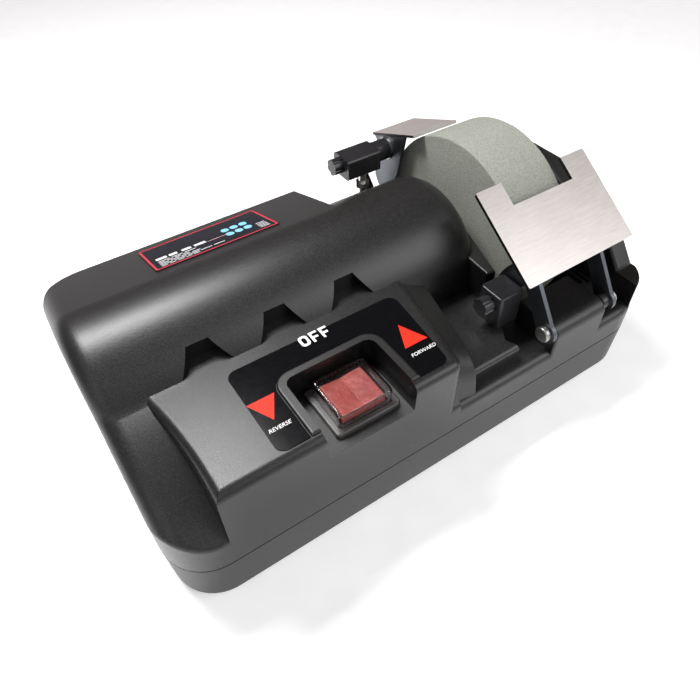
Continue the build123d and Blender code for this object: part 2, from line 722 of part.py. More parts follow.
LABEL_LEFT = -98.0
LABEL_RIGHT = -26.8
LABEL_DEPTH = 37.3
LABEL_START = 7.2
crest_y = SHAFT_Y + BARREL_R * math.sin(SLOPE)
crest_z = BARREL_Z + BARREL_R * math.cos(SLOPE)
label_plane = Plane(
    origin=(
        (LABEL_LEFT + LABEL_RIGHT) / 2,
        crest_y + (LABEL_START + LABEL_DEPTH / 2) * math.cos(SLOPE),
        crest_z - (LABEL_START + LABEL_DEPTH / 2) * math.sin(SLOPE),
    ),
    x_dir=(1, 0, 0),
    z_dir=(0, math.sin(SLOPE), math.cos(SLOPE)),
)
with BuildPart() as rating_label:
    with BuildSketch(label_plane):
        RectangleRounded(LABEL_RIGHT - LABEL_LEFT, LABEL_DEPTH, 1.5)
    extrude(amount=DECAL_T)
PIECES["rating_label"] = rating_label

# ---- Rocker switch: body with its frame, rocker, clear splash cover, terminals ----
BEZEL_W = 36.0
BEZEL_D = 31.0
BEZEL_H = 3.0
ROCKER_W = 23.5
ROCKER_D = 20.0
ROCKER_PIVOT_Z = POCKET_Z + 0.5
TRUNNION_R = 1.5
with BuildPart() as switch_body:
    with Locations((SWITCH_X, SWITCH_Y, POCKET_Z + BEZEL_H / 2)):
        Box(BEZEL_W, BEZEL_D, BEZEL_H)
    fillet(switch_body.edges().filter_by(Axis.Z), 2.0)
    fillet(switch_body.faces().sort_by(Axis.Z)[-1].edges(), 1.0)
    with Locations((SWITCH_X, SWITCH_Y, POCKET_Z - 11)):
        Box(SWITCH_BODY_W, SWITCH_BODY_D, 22)
    with Locations((SWITCH_X, SWITCH_Y, POCKET_Z - 3)):
        Box(ROCKER_W + 2.6, ROCKER_D + 0.8, 14, mode=Mode.SUBTRACT)
    with BuildSketch(Plane.XZ.offset(-SWITCH_Y - ROCKER_D / 2 - 1.6)) as trunnion_bore:
        with Locations((SWITCH_X, ROCKER_PIVOT_Z)):
            Circle(TRUNNION_R + RUN_GAP)
    extrude(trunnion_bore.sketch, amount=ROCKER_D + 3.2, mode=Mode.SUBTRACT)
PIECES["switch_body"] = switch_body

with BuildPart() as switch_rocker:
    with BuildSketch(Plane.XZ.offset(-SWITCH_Y - ROCKER_D / 2)) as rocker_side:
        with BuildLine() as rocker_line:
            Polyline(
                (SWITCH_X - ROCKER_W / 2, POCKET_Z + 7.9),
                (SWITCH_X, POCKET_Z + 6.8),
                (SWITCH_X + ROCKER_W / 2, POCKET_Z + 7.9),
                (SWITCH_X + ROCKER_W / 2, POCKET_Z + 0.5),
                (SWITCH_X + 4, POCKET_Z - 5),
                (SWITCH_X - 4, POCKET_Z - 5),
                (SWITCH_X - ROCKER_W / 2, POCKET_Z + 0.5),
                close=True,
            )
        make_face(rocker_line.edges())
    extrude(rocker_side.sketch, amount=ROCKER_D)
    fillet(switch_rocker.edges().filter_by(Axis.Y).group_by(Axis.Z)[-1], 0.8)
    with BuildSketch(Plane.XZ.offset(-SWITCH_Y - ROCKER_D / 2 - 1.3)) as trunnion:
        with Locations((SWITCH_X, ROCKER_PIVOT_Z)):
            Circle(TRUNNION_R)
    extrude(trunnion.sketch, amount=ROCKER_D + 2.6)
PIECES["switch_rocker"] = switch_rocker

COVER_W = 30.0
COVER_D = 26.0
COVER_TOP = POCKET_Z + 11.8
with BuildPart() as switch_splash_cover:
    with Locations((SWITCH_X, SWITCH_Y, (POCKET_Z + BEZEL_H + COVER_TOP) / 2)):
        Box(COVER_W, COVER_D, COVER_TOP - POCKET_Z - BEZEL_H)
    fillet(switch_splash_cover.edges().filter_by(Axis.Z), 2.5)
    fillet(switch_splash_cover.faces().sort_by(Axis.Z)[-1].edges(), 1.5)
    cover_foot = switch_splash_cover.faces().sort_by(Axis.Z)[0]
    offset(amount=-0.8, openings=cover_foot)
PIECES["switch_splash_cover"] = switch_splash_cover

with BuildPart() as switch_terminals:
    for blade_x in (-9.0, 0.0, 9.0):
        for blade_y in (-6.0, 6.0):
            block(
                SWITCH_X + blade_x - 0.4, SWITCH_X + blade_x + 0.4,
                SWITCH_Y + blade_y - 2.4, SWITCH_Y + blade_y + 2.4,
                POCKET_Z - 32, POCKET_Z - 22,
            )
PIECES["switch_terminals"] = switch_terminals

# ---- Wheel, shaft, flanges and nut ----
SHAFT_LEFT = 6.0
SHAFT_END = 131.0
BUSH_R = 8.0
FLANGE_R = 15.0
FLANGE_T = 4.0
with BuildPart() as grinding_wheel:
    x_disc(WHEEL_LEFT, WHEEL_RIGHT, SHAFT_Y, SHAFT_Z, WHEEL_R, BUSH_R)
    rims = grinding_wheel.edges().filter_by(GeomType.CIRCLE).filter_by(lambda e: e.radius > 50)
    fillet(rims, 0.8)
PIECES["grinding_wheel"] = grinding_wheel

with BuildPart() as wheel_bush:
    x_disc(WHEEL_LEFT, WHEEL_RIGHT, SHAFT_Y, SHAFT_Z, BUSH_R, SHAFT_R)
PIECES["wheel_bush"] = wheel_bush

with BuildPart() as wheel_shaft:
    x_disc(SHAFT_LEFT, SHAFT_END, SHAFT_Y, SHAFT_Z, SHAFT_R)
    chamfer(wheel_shaft.edges().filter_by(GeomType.CIRCLE), 0.8)
PIECES["wheel_shaft"] = wheel_shaft

with BuildPart() as inner_flange:
    x_disc(WHEEL_LEFT - FLANGE_T, WHEEL_LEFT, SHAFT_Y, SHAFT_Z, FLANGE_R, SHAFT_R)
    x_disc(WHEEL_LEFT - FLANGE_T - 5, WHEEL_LEFT - FLANGE_T, SHAFT_Y, SHAFT_Z, 9.0, SHAFT_R)
PIECES["inner_flange"] = inner_flange

with BuildPart() as outer_flange:
    x_disc(WHEEL_RIGHT, WHEEL_RIGHT + FLANGE_T, SHAFT_Y, SHAFT_Z, FLANGE_R, SHAFT_R)
    rim = outer_flange.edges().filter_by(GeomType.CIRCLE).group_by(Axis.X)[-1].sort_by(SortBy.RADIUS)
    chamfer(rim[-1], 1.0)
PIECES["outer_flange"] = outer_flange

NUT_AF = 17.0
with BuildPart() as arbor_nut:
    with BuildSketch(Plane.YZ.offset(WHEEL_RIGHT + FLANGE_T)) as nut_face:
        with Locations((SHAFT_Y, SHAFT_Z)):
            RegularPolygon(NUT_AF / 2, 6, major_radius=False)
            Circle(SHAFT_R, mode=Mode.SUBTRACT)
    extrude(nut_face.sketch, amount=6.5)
PIECES["arbor_nut"] = arbor_nut

# ---- Gear plate, gearbox cover and what they carry ----
PLATE_LEFT = MOTOR_RIGHT
PLATE_RIGHT = PLATE_LEFT + 4.0
PLATE_SHOULDER_Z = 57.5
COVER_END = 54.0
BEARING_R = 9.0
AXLE_R = 3.0
COVER_EARS = [(38.5, 91.7), (-9.1, 91.7), (-26.7, 24.3), (47.0, 29.0)]
EAR_R = 4.5
EAR_SCREW_R = 1.5
EAR_HEAD_R = 2.8
MOTOR_FIXINGS = [(MOTOR_Y + 17, MOTOR_Z + 10), (MOTOR_Y - 1, MOTOR_Z - 20)]

with BuildPart() as gear_plate:
    with BuildSketch(Plane.YZ.offset(PLATE_LEFT)) as plate_face:
        with Locations((14.0, (FLOOR_Z + PLATE_SHOULDER_Z) / 2)):
            RectangleRounded(92, PLATE_SHOULDER_Z - FLOOR_Z, 5)
        with Locations((SHAFT_Y, SHAFT_Z)):
            Circle(38.3)
        with Locations((SHAFT_Y, SHAFT_Z)):
            Circle(BEARING_R, mode=Mode.SUBTRACT)
        with Locations((IDLER_Y, IDLER_Z)):
            Circle(AXLE_R, mode=Mode.SUBTRACT)
        with Locations((MOTOR_Y, MOTOR_Z)):
            Circle(5.0, mode=Mode.SUBTRACT)
        with Locations(*COVER_EARS):
            Circle(EAR_SCREW_R, mode=Mode.SUBTRACT)
        with Locations(*MOTOR_FIXINGS):
            Circle(EAR_SCREW_R, mode=Mode.SUBTRACT)
    extrude(plate_face.sketch, amount=PLATE_RIGHT - PLATE_LEFT)
    x_disc(PLATE_LEFT - 3, PLATE_LEFT, SHAFT_Y, SHAFT_Z, 10.8, BEARING_R)
PIECES["gear_plate"] = gear_plate


def gearbox_outline(wall):
    """Outline that wraps the three gears, wall outside their running space."""
    with Locations((SHAFT_Y, SHAFT_Z)):
        Circle(28.7 + wall)
    with Locations((IDLER_Y, IDLER_Z)):
        Circle(26.3 + wall)
    with Locations((MOTOR_Y, MOTOR_Z)):
        Circle(9.0 + wall)
    with BuildLine() as wrap:
        Polyline(
            (IDLER_Y, IDLER_Z), (IDLER_Y, IDLER_Z - 15), (MOTOR_Y, MOTOR_Z - 9 - wall),
            (MOTOR_Y + 8, MOTOR_Z + 3 + wall), (SHAFT_Y + 27, SHAFT_Z), (SHAFT_Y - 20, SHAFT_Z),
            close=True,
        )
    make_face(wrap.edges())


with BuildPart() as gearbox_cover:
    with BuildSketch(Plane.YZ.offset(PLATE_RIGHT)) as cover_outside:
        gearbox_outline(2.0)
    extrude(cover_outside.sketch, amount=COVER_END - PLATE_RIGHT)
    with BuildSketch(Plane.YZ.offset(PLATE_RIGHT)) as cover_ears:
        with Locations(*COVER_EARS):
            Circle(EAR_R)
    extrude(cover_ears.sketch, amount=4)
    with BuildSketch(Plane.YZ.offset(PLATE_RIGHT)) as cover_inside:
        gearbox_outline(0.0)
    extrude(cover_inside.sketch, amount=COVER_END - 2 - PLATE_RIGHT, mode=Mode.SUBTRACT)
    with BuildSketch(Plane.YZ.offset(PLATE_RIGHT)) as ear_holes:
        with Locations(*COVER_EARS):
            Circle(EAR_SCREW_R)
    extrude(ear_holes.sketch, amount=5, mode=Mode.SUBTRACT)
    x_disc(COVER_END, COVER_END + 8, SHAFT_Y, SHAFT_Z, 12.0)
    x_hole(COVER_END - 3, COVER_END + 9, SHAFT_Y, SHAFT_Z, BEARING_R)
    x_hole(COVER_END - 3, COVER_END + 1, IDLER_Y, IDLER_Z, AXLE_R)
PIECES["gearbox_cover"] = gearbox_cover

with BuildPart() as gearbox_screws:
    for screw_y, screw_z in COVER_EARS:
        x_disc(PLATE_LEFT, PLATE_RIGHT + 4, screw_y, screw_z, EAR_SCREW_R)
        x_disc(PLATE_RIGHT + 4, PLATE_RIGHT + 6, screw_y, screw_z, EAR_HEAD_R)
PIECES["gearbox_screws"] = gearbox_screws

with BuildPart() as motor_screws:
    for screw_y, screw_z in MOTOR_FIXINGS:
        x_disc(PLATE_LEFT - 3, PLATE_RIGHT, screw_y, screw_z, EAR_SCREW_R)
        x_disc(PLATE_RIGHT, PLATE_RIGHT + 2, screw_y, screw_z, EAR_HEAD_R)
PIECES["motor_screws"] = motor_screws

with BuildPart() as shaft_bushings:
    x_disc(PLATE_LEFT - 3, PLATE_RIGHT, SHAFT_Y, SHAFT_Z, BEARING_R, SHAFT_R + RUN_GAP)
    x_disc(COVER_END - 2, COVER_END + 8, SHAFT_Y, SHAFT_Z, BEARING_R, SHAFT_R + RUN_GAP)
PIECES["shaft_bushings"] = shaft_bushings

with BuildPart() as shaft_seal:
    x_disc(BARREL_END - WALL, BARREL_END, SHAFT_Y, SHAFT_Z, SEAL_R, SHAFT_R + RUN_GAP)
    x_disc(BARREL_END, BARREL_END + 1, SHAFT_Y, SHAFT_Z, SEAL_R + 1.5, SHAFT_R + RUN_GAP)
PIECES["shaft_seal"] = shaft_seal

with BuildPart() as idler_axle:
    x_disc(PLATE_LEFT, COVER_END, IDLER_Y, IDLER_Z, AXLE_R)
PIECES["idler_axle"] = idler_axle

# ---- Gears: each meeting pair has a tooth of one and a gap of the other on its line of centres ----
OUTPUT_PHASE = math.degrees(IDLER_ANGLE) + 180.0 / OUTPUT_TEETH
SMALL_PHASE = math.degrees(IDLER_ANGLE) - 180.0
PINION_PHASE = 180.0 / PINION_TEETH

with BuildPart() as output_gear:
    with BuildSketch(Plane.YZ.offset(32)) as output_face:
        with Locations((SHAFT_Y, SHAFT_Z)):
            Circle(10.0)
        with Locations((SHAFT_Y, SHAFT_Z)):
            add(gear_face(OUTPUT_TEETH, SLOW_MODULE, OUTPUT_PHASE))
        with Locations((SHAFT_Y, SHAFT_Z)):
            Circle(SHAFT_R, mode=Mode.SUBTRACT)
        with Locations((SHAFT_Y, SHAFT_Z)):
            with PolarLocations(16.0, 6):
                Circle(4.0, mode=Mode.SUBTRACT)
    extrude(output_face.sketch, amount=12)
    x_disc(44, 50, SHAFT_Y, SHAFT_Z, 10.0, SHAFT_R)
PIECES["output_gear"] = output_gear

with BuildPart() as idler_gear:
    with BuildSketch(Plane.YZ.offset(22)) as idler_big:
        with Locations((IDLER_Y, IDLER_Z)):
            add(gear_face(IDLER_TEETH, FAST_MODULE, 0.0))
    extrude(idler_big.sketch, amount=8)
    with BuildSketch(Plane.YZ.offset(30)) as idler_small:
        with Locations((IDLER_Y, IDLER_Z)):
            add(gear_face(SMALL_TEETH, SLOW_MODULE, SMALL_PHASE))
    extrude(idler_small.sketch, amount=15)
    x_hole(20, 50, IDLER_Y, IDLER_Z, AXLE_R + RUN_GAP)
PIECES["idler_gear"] = idler_gear

with BuildPart() as motor_pinion:
    with BuildSketch(Plane.YZ.offset(21)) as pinion_face:
        with Locations((MOTOR_Y, MOTOR_Z)):
            add(gear_face(PINION_TEETH, FAST_MODULE, PINION_PHASE))
        with Locations((MOTOR_Y, MOTOR_Z)):
            Circle(MOTOR_SHAFT_R, mode=Mode.SUBTRACT)
    extrude(pinion_face.sketch, amount=10)
PIECES["motor_pinion"] = motor_pinion

# ---- Motor: a brushed motor in a steel can, lying in the cradles ----
CAN_WALL = 2.0
CAP_T = 4.0
CAN_LEFT = MOTOR_LEFT + CAP_T
CAN_RIGHT = MOTOR_RIGHT - CAP_T
MAGNET_R = MOTOR_R - CAN_WALL
CORE_R = 19.5
CORE_LEFT = MOTOR_LEFT + 22
CORE_RIGHT = MOTOR_RIGHT - 28
SLOTS = 8
COMMUTATOR_R = 7.0
COMMUTATOR_LEFT = MOTOR_RIGHT - 19
COMMUTATOR_RIGHT = MOTOR_RIGHT - 8
JOURNAL_R = 5.0

with BuildPart() as motor_can:
    x_disc(CAN_LEFT, CAN_RIGHT, MOTOR_Y, MOTOR_Z, MOTOR_R, MOTOR_R - CAN_WALL)
PIECES["motor_can"] = motor_can

with BuildPart() as field_magnets:
    for side in (-1, 1):
        with BuildSketch(Plane.YZ.offset(CORE_LEFT - 3)) as magnet_face:
            with Locations((MOTOR_Y, MOTOR_Z)):
                Circle(MAGNET_R)
            with Locations((MOTOR_Y, MOTOR_Z)):
                Circle(CORE_R + 0.6, mode=Mode.SUBTRACT)
            with Locations((MOTOR_Y + side * 30, MOTOR_Z)):
                Rectangle(36, 36, mode=Mode.INTERSECT)
        extrude(magnet_face.sketch, amount=CORE_RIGHT - CORE_LEFT + 6)
PIECES["field_magnets"] = field_magnets

with BuildPart() as motor_rear_cap:
    x_disc(MOTOR_LEFT, CAN_LEFT, MOTOR_Y, MOTOR_Z, MOTOR_R, JOURNAL_R)
    with BuildSketch(Plane.YZ.offset(MOTOR_LEFT)) as rear_vents:
        with Locations((MOTOR_Y, MOTOR_Z)):
            with PolarLocations(16.0, 6):
                Circle(4.5)
    extrude(rear_vents.sketch, amount=CAP_T, mode=Mode.SUBTRACT)
PIECES["motor_rear_cap"] = motor_rear_cap

BRUSH_IN = COMMUTATOR_R + 0.1
BRUSH_OUT = 14.0
with BuildPart() as motor_front_cap:
    x_disc(CAN_RIGHT, MOTOR_RIGHT, MOTOR_Y, MOTOR_Z, MOTOR_R, JOURNAL_R)
    for side in (-1, 1):
        holder_z = MOTOR_Z + side * 13.0
        block(
            COMMUTATOR_LEFT, CAN_RIGHT, MOTOR_Y - 4.5, MOTOR_Y + 4.5, holder_z - 4, holder_z + 4,
        )
        brush_mid = MOTOR_Z + side * (BRUSH_IN + BRUSH_OUT) / 2
        block(
            COMMUTATOR_LEFT + 2, COMMUTATOR_RIGHT - 2, MOTOR_Y - 3, MOTOR_Y + 3,
            brush_mid - 4, brush_mid + 4, mode=Mode.SUBTRACT,
        )
    for screw_y, screw_z in MOTOR_FIXINGS:
        x_hole(PLATE_LEFT - 3, PLATE_LEFT + 1, screw_y, screw_z, EAR_SCREW_R)
PIECES["motor_front_cap"] = motor_front_cap

with BuildPart() as brushes:
    for side in (-1, 1):
        brush_mid = MOTOR_Z + side * (BRUSH_IN + BRUSH_OUT) / 2
        brush_half = (BRUSH_OUT - BRUSH_IN) / 2
        block(
            COMMUTATOR_LEFT + 2.1, COMMUTATOR_RIGHT - 2.1, MOTOR_Y - 2.9, MOTOR_Y + 2.9,
            brush_mid - brush_half, brush_mid + brush_half,
        )
PIECES["brushes"] = brushes

with BuildPart() as motor_bushings:
    for bush_left in (MOTOR_LEFT, CAN_RIGHT):
        x_disc(bush_left, bush_left + CAP_T, MOTOR_Y, MOTOR_Z, JOURNAL_R, MOTOR_SHAFT_R + RUN_GAP)
PIECES["motor_bushings"] = motor_bushings

with BuildPart() as motor_shaft:
    x_disc(MOTOR_LEFT, 31.5, MOTOR_Y, MOTOR_Z, MOTOR_SHAFT_R)
PIECES["motor_shaft"] = motor_shaft

with BuildPart() as armature_core:
    with BuildSketch(Plane.YZ.offset(CORE_LEFT)) as core_face:
        with Locations((MOTOR_Y, MOTOR_Z)):
            Circle(CORE_R)
        with Locations((MOTOR_Y, MOTOR_Z)):
            Circle(MOTOR_SHAFT_R, mode=Mode.SUBTRACT)
        with Locations((MOTOR_Y, MOTOR_Z)):
            with PolarLocations(14.0, SLOTS):
                Circle(3.2, mode=Mode.SUBTRACT)
        with Locations((MOTOR_Y, MOTOR_Z)):
            with PolarLocations(17.5, SLOTS):
                Rectangle(6.0, 1.6, mode=Mode.SUBTRACT)
    extrude(core_face.sketch, amount=CORE_RIGHT - CORE_LEFT)
PIECES["armature_core"] = armature_core

with BuildPart() as armature_windings:
    with BuildSketch(Plane.YZ.offset(CORE_LEFT - 4)) as winding_slots:
        with Locations((MOTOR_Y, MOTOR_Z)):
            with PolarLocations(14.0, SLOTS):
                Circle(2.9)
    extrude(winding_slots.sketch, amount=CORE_RIGHT - CORE_LEFT + 8)
    for turn_left in (CORE_LEFT - 6, CORE_RIGHT + 1):
        x_disc(turn_left, turn_left + 5, MOTOR_Y, MOTOR_Z, 17.4, 6.0)
    turn_rims = armature_windings.edges().filter_by(GeomType.CIRCLE).group_by(Axis.X)
    for turn_rim in (turn_rims[0], turn_rims[-1]):
        fillet(turn_rim.sort_by(SortBy.RADIUS)[-1], 2.0)
PIECES["armature_windings"] = armature_windings

with BuildPart() as commutator:
    x_disc(COMMUTATOR_LEFT, COMMUTATOR_RIGHT, MOTOR_Y, MOTOR_Z, COMMUTATOR_R, MOTOR_SHAFT_R)
PIECES["commutator"] = commutator

FAN_LEFT = CAN_LEFT + 1.5
FAN_RIGHT = CORE_LEFT - 7
with BuildPart() as cooling_fan:
    x_disc(FAN_LEFT, FAN_RIGHT, MOTOR_Y, MOTOR_Z, 6.0, MOTOR_SHAFT_R)
    x_disc(FAN_RIGHT - 1.2, FAN_RIGHT, MOTOR_Y, MOTOR_Z, 20.0, MOTOR_SHAFT_R)
    with BuildSketch(Plane.YZ.offset(FAN_LEFT)) as fan_blades:
        with Locations((MOTOR_Y, MOTOR_Z)):
            with PolarLocations(12.5, 7):
                Rectangle(14.0, 1.2, rotation=25)
    extrude(fan_blades.sketch, amount=FAN_RIGHT - FAN_LEFT)
PIECES["cooling_fan"] = cooling_fan

STRAP_T = 1.2
with BuildPart() as motor_straps:
    for cradle_left, cradle_right in CRADLES:
        with BuildSketch(Plane.YZ.offset(cradle_left + 0.5)) as strap_face:
            with Locations((MOTOR_Y, MOTOR_Z)):
                Circle(MOTOR_R + STRAP_T)
            with Locations((MOTOR_Y, CRADLE_TOP / 2)):
                Rectangle(120, CRADLE_TOP, mode=Mode.SUBTRACT)
            with Locations((MOTOR_Y, CRADLE_TOP + STRAP_T / 2)):
                Rectangle(2 * CRADLE_HALF, STRAP_T)
            with Locations((MOTOR_Y, MOTOR_Z)):
                Circle(MOTOR_R, mode=Mode.SUBTRACT)
        extrude(strap_face.sketch, amount=cradle_right - cradle_left - 1)
PIECES["motor_straps"] = motor_straps

# ---- Speed control board on its posts ----
BOARD_X0, BOARD_X1, BOARD_Y0, BOARD_Y1, BOARD_Z = BOARD
BOARD_TOP = BOARD_Z + 1.6
with BuildPart() as control_board:
    block(BOARD_X0, BOARD_X1, BOARD_Y0, BOARD_Y1, BOARD_Z, BOARD_TOP)
PIECES["control_board"] = control_board

with BuildPart() as board_components:
    z_disc(-122, -30, BOARD_TOP, BOARD_TOP + 20, 7.0)
    z_disc(-104, -32, BOARD_TOP, BOARD_TOP + 14, 4.5)
    block(-129, -99, -12, -8, BOARD_TOP, BOARD_TOP + 22)
    for fin in range(4):
        block(-129, -99, -6.5 + 2.5 * fin, -5.5 + 2.5 * fin, BOARD_TOP, BOARD_TOP + 18)
    block(-126, -114, 8, 16, BOARD_TOP, BOARD_TOP + 11)
    block(-108, -98, 6, 14, BOARD_TOP, BOARD_TOP + 8)
PIECES["board_components"] = board_components
# ---- Front tool rest: notched plate on two arms that tilt about the pivot bolts ----
PLATE_RUN = (math.cos(FRONT_TILT), math.sin(FRONT_TILT))
FRONT_LOW = (
    FRONT_EDGE[0] - FRONT_PLATE_D * PLATE_RUN[0],
    FRONT_EDGE[1] - FRONT_PLATE_D * PLATE_RUN[1],
)
UNDER = (FRONT_LOW[0] + PLATE_T * PLATE_RUN[1], FRONT_LOW[1] - PLATE_T * PLATE_RUN[0])


def under_plate(distance):
    """Point on the plate's underside, distance up from its lower edge."""
    return (UNDER[0] + distance * PLATE_RUN[0], UNDER[1] + distance * PLATE_RUN[1])


front_plate_plane = Plane(
    origin=(WHEEL_X, UNDER[0], UNDER[1]),
    x_dir=(1, 0, 0),
    z_dir=(0, -PLATE_RUN[1], PLATE_RUN[0]),
)
with BuildPart() as front_rest_plate:
    with BuildSketch(front_plate_plane):
        with Locations((0, FRONT_PLATE_D / 2)):
            Rectangle(FRONT_PLATE_W, FRONT_PLATE_D)
        with Locations((0, FRONT_PLATE_D - NOTCH_D / 2 + 1)):
            Rectangle(NOTCH_W, NOTCH_D + 2, mode=Mode.SUBTRACT)
    extrude(amount=PLATE_T)
    corner_x = FRONT_PLATE_W / 2 - 1
    plate_corners = [
        edge
        for edge in front_rest_plate.edges()
        if edge.length < PLATE_T + 0.1 and abs(edge.center().X - WHEEL_X) > corner_x
    ]
    fillet(plate_corners, 1.0)
PIECES["front_rest_plate"] = front_rest_plate

ARM_REACH = 26.0
EYE_R = 6.3
PIVOT_R = 2.5
PIVOT_Y, PIVOT_Z = FRONT_PIVOT
SECTOR_OUT = 41.5
SECTOR_IN = 28.0
SECTOR_START = math.radians(-8)


def arm_sketch():
    """Side view of an arm: an eye at the pivot, spreading to the plate's underside."""
    with Locations(FRONT_PIVOT):
        Circle(EYE_R)
    with BuildLine() as arm_line:
        Polyline(
            (PIVOT_Y - EYE_R, PIVOT_Z + 0.5),
            under_plate(0.5),
            under_plate(ARM_REACH),
            (PIVOT_Y + EYE_R * 0.9, PIVOT_Z - EYE_R * 0.4),
            close=True,
        )
    make_face(arm_line.edges())


def sector_point(radius, angle):
    """Point at a radius and angle about the pivot."""
    return (PIVOT_Y + radius * math.cos(angle), PIVOT_Z + radius * math.sin(angle))


SECTOR_END = math.radians(52)
SECTOR_MID = (SECTOR_START + SECTOR_END) / 2
with BuildPart() as front_rest_left_arm:
    with BuildSketch(Plane.YZ.offset(LEFT_ARM_X)) as left_arm_face:
        arm_sketch()
        with BuildLine() as sector_line:
            ThreePointArc(
                sector_point(SECTOR_OUT, SECTOR_START),
                sector_point(SECTOR_OUT, SECTOR_MID),
                sector_point(SECTOR_OUT, SECTOR_END),
            )
            Line(sector_point(SECTOR_OUT, SECTOR_END), sector_point(SECTOR_IN, SECTOR_END))
            ThreePointArc(
                sector_point(SECTOR_IN, SECTOR_END),
                sector_point(SECTOR_IN, SECTOR_MID),
                sector_point(SECTOR_IN, SECTOR_START),
            )
            Line(sector_point(SECTOR_IN, SECTOR_START), sector_point(SECTOR_OUT, SECTOR_START))
        make_face(sector_line.edges())
        with Locations(FRONT_PIVOT):
            Circle(PIVOT_R + RUN_GAP, mode=Mode.SUBTRACT)
    extrude(left_arm_face.sketch, amount=ARM_T)
PIECES["front_rest_left_arm"] = front_rest_left_arm

with BuildPart() as front_rest_right_arm:
    with BuildSketch(Plane.YZ.offset(RIGHT_ARM_X)) as right_arm_face:
        arm_sketch()
        with Locations(FRONT_PIVOT):
            Circle(PIVOT_R + RUN_GAP, mode=Mode.SUBTRACT)
    extrude(right_arm_face.sketch, amount=ARM_T)
PIECES["front_rest_right_arm"] = front_rest_right_arm

BOLT_HEAD_R = 4.6
BOLT_HEAD_T = 3.0
BOLT_DEPTH = 14.0
with BuildPart() as front_pivot_bolts:
    left_head = LEFT_ARM_X - 0.3
    x_disc(left_head - BOLT_HEAD_T, left_head, PIVOT_Y, PIVOT_Z, BOLT_HEAD_R)
    x_disc(left_head, PEDESTAL_LEFT + BOLT_DEPTH, PIVOT_Y, PIVOT_Z, PIVOT_R)
    right_head = RIGHT_ARM_X + ARM_T + 0.3
    x_disc(right_head, right_head + BOLT_HEAD_T, PIVOT_Y, PIVOT_Z, BOLT_HEAD_R)
    x_disc(PEDESTAL_RIGHT - BOLT_DEPTH, right_head, PIVOT_Y, PIVOT_Z, PIVOT_R)
    head_rims = front_pivot_bolts.edges().filter_by(GeomType.CIRCLE).group_by(Axis.X)
    fillet((head_rims[0] + head_rims[-1]), 1.0)
PIECES["front_pivot_bolts"] = front_pivot_bolts

with BuildPart() as front_pivot_spacer:
    x_disc(PEDESTAL_RIGHT, RIGHT_ARM_X - 0.3, PIVOT_Y, PIVOT_Z, 4.5, PIVOT_R)
PIECES["front_pivot_spacer"] = front_pivot_spacer

# ---- Front clamp: its screw presses on the left arm's sector ----
CLAMP_X0 = 50.0
CLAMP_X1 = 66.8
CLAMP_Y0 = -62.0
CLAMP_Y1 = -45.5
CLAMP_TOP = 82.0
CLAMP_AXIS = (-54.0, 75.0)
CLAMP_SCREW_R = 2.5
with BuildPart() as front_clamp_block:
    block(CLAMP_X0, CLAMP_X1, CLAMP_Y0, CLAMP_Y1, PLATFORM_Z, CLAMP_TOP)
    fillet(front_clamp_block.edges().filter_by(Axis.Z), 2.0)
    fillet(front_clamp_block.faces().sort_by(Axis.Z)[-1].edges(), 1.0)
    x_hole(CLAMP_X0 - 1, CLAMP_X1 + 1, *CLAMP_AXIS, CLAMP_SCREW_R + RUN_GAP)
PIECES["front_clamp_block"] = front_clamp_block


def knob_sketch(y, z, radius):
    """Face of a small grip knob with six flutes."""
    with Locations((y, z)):
        Circle(radius)
    with Locations((y, z)):
        with PolarLocations(radius + 0.6, 6):
            Circle(1.4, mode=Mode.SUBTRACT)


with BuildPart() as front_clamp_knob:
    with BuildSketch(Plane.YZ.offset(CLAMP_X0 - 7.3)) as front_knob_face:
        knob_sketch(*CLAMP_AXIS, 5.3)
    extrude(front_knob_face.sketch, amount=6.3)
    x_disc(CLAMP_X0 - 1, CLAMP_X0 - 0.3, *CLAMP_AXIS, 3.6)
    x_disc(CLAMP_X0 - 1, LEFT_ARM_X - 0.3, *CLAMP_AXIS, CLAMP_SCREW_R)
PIECES["front_clamp_knob"] = front_clamp_knob

# ---- Rear tool rest: small plate on a flange that tilts about the clamp pin ----
REAR_RUN = (math.cos(REAR_TILT), -math.sin(REAR_TILT))
REAR_UP = (math.sin(REAR_TILT), math.cos(REAR_TILT))
REAR_Y, REAR_Z = REAR_PIVOT


def rear_point(along, below):
    """Point measured along the rear plate from its upper edge, and below its top face."""
    return (
        REAR_EDGE[0] + along * REAR_RUN[0] - below * REAR_UP[0],
        REAR_EDGE[1] + along * REAR_RUN[1] - below * REAR_UP[1],
    )


REAR_FLANGE_T = 2.5
REAR_TAIL_Y = 80.0
REAR_TAIL_Z = 72.0
with BuildPart() as rear_rest_plate:
    with BuildSketch(Plane.YZ.offset(REAR_PLATE_X)) as rear_side:
        with BuildLine() as rear_line:
            Polyline(
                rear_point(0, 0),
                rear_point(REAR_PLATE_D, 0),
                rear_point(REAR_PLATE_D, REAR_PLATE_T),
                rear_point(0, REAR_PLATE_T),
                close=True,
            )
        make_face(rear_line.edges())
    extrude(rear_side.sketch, amount=REAR_PLATE_W)
PIECES["rear_rest_plate"] = rear_rest_plate

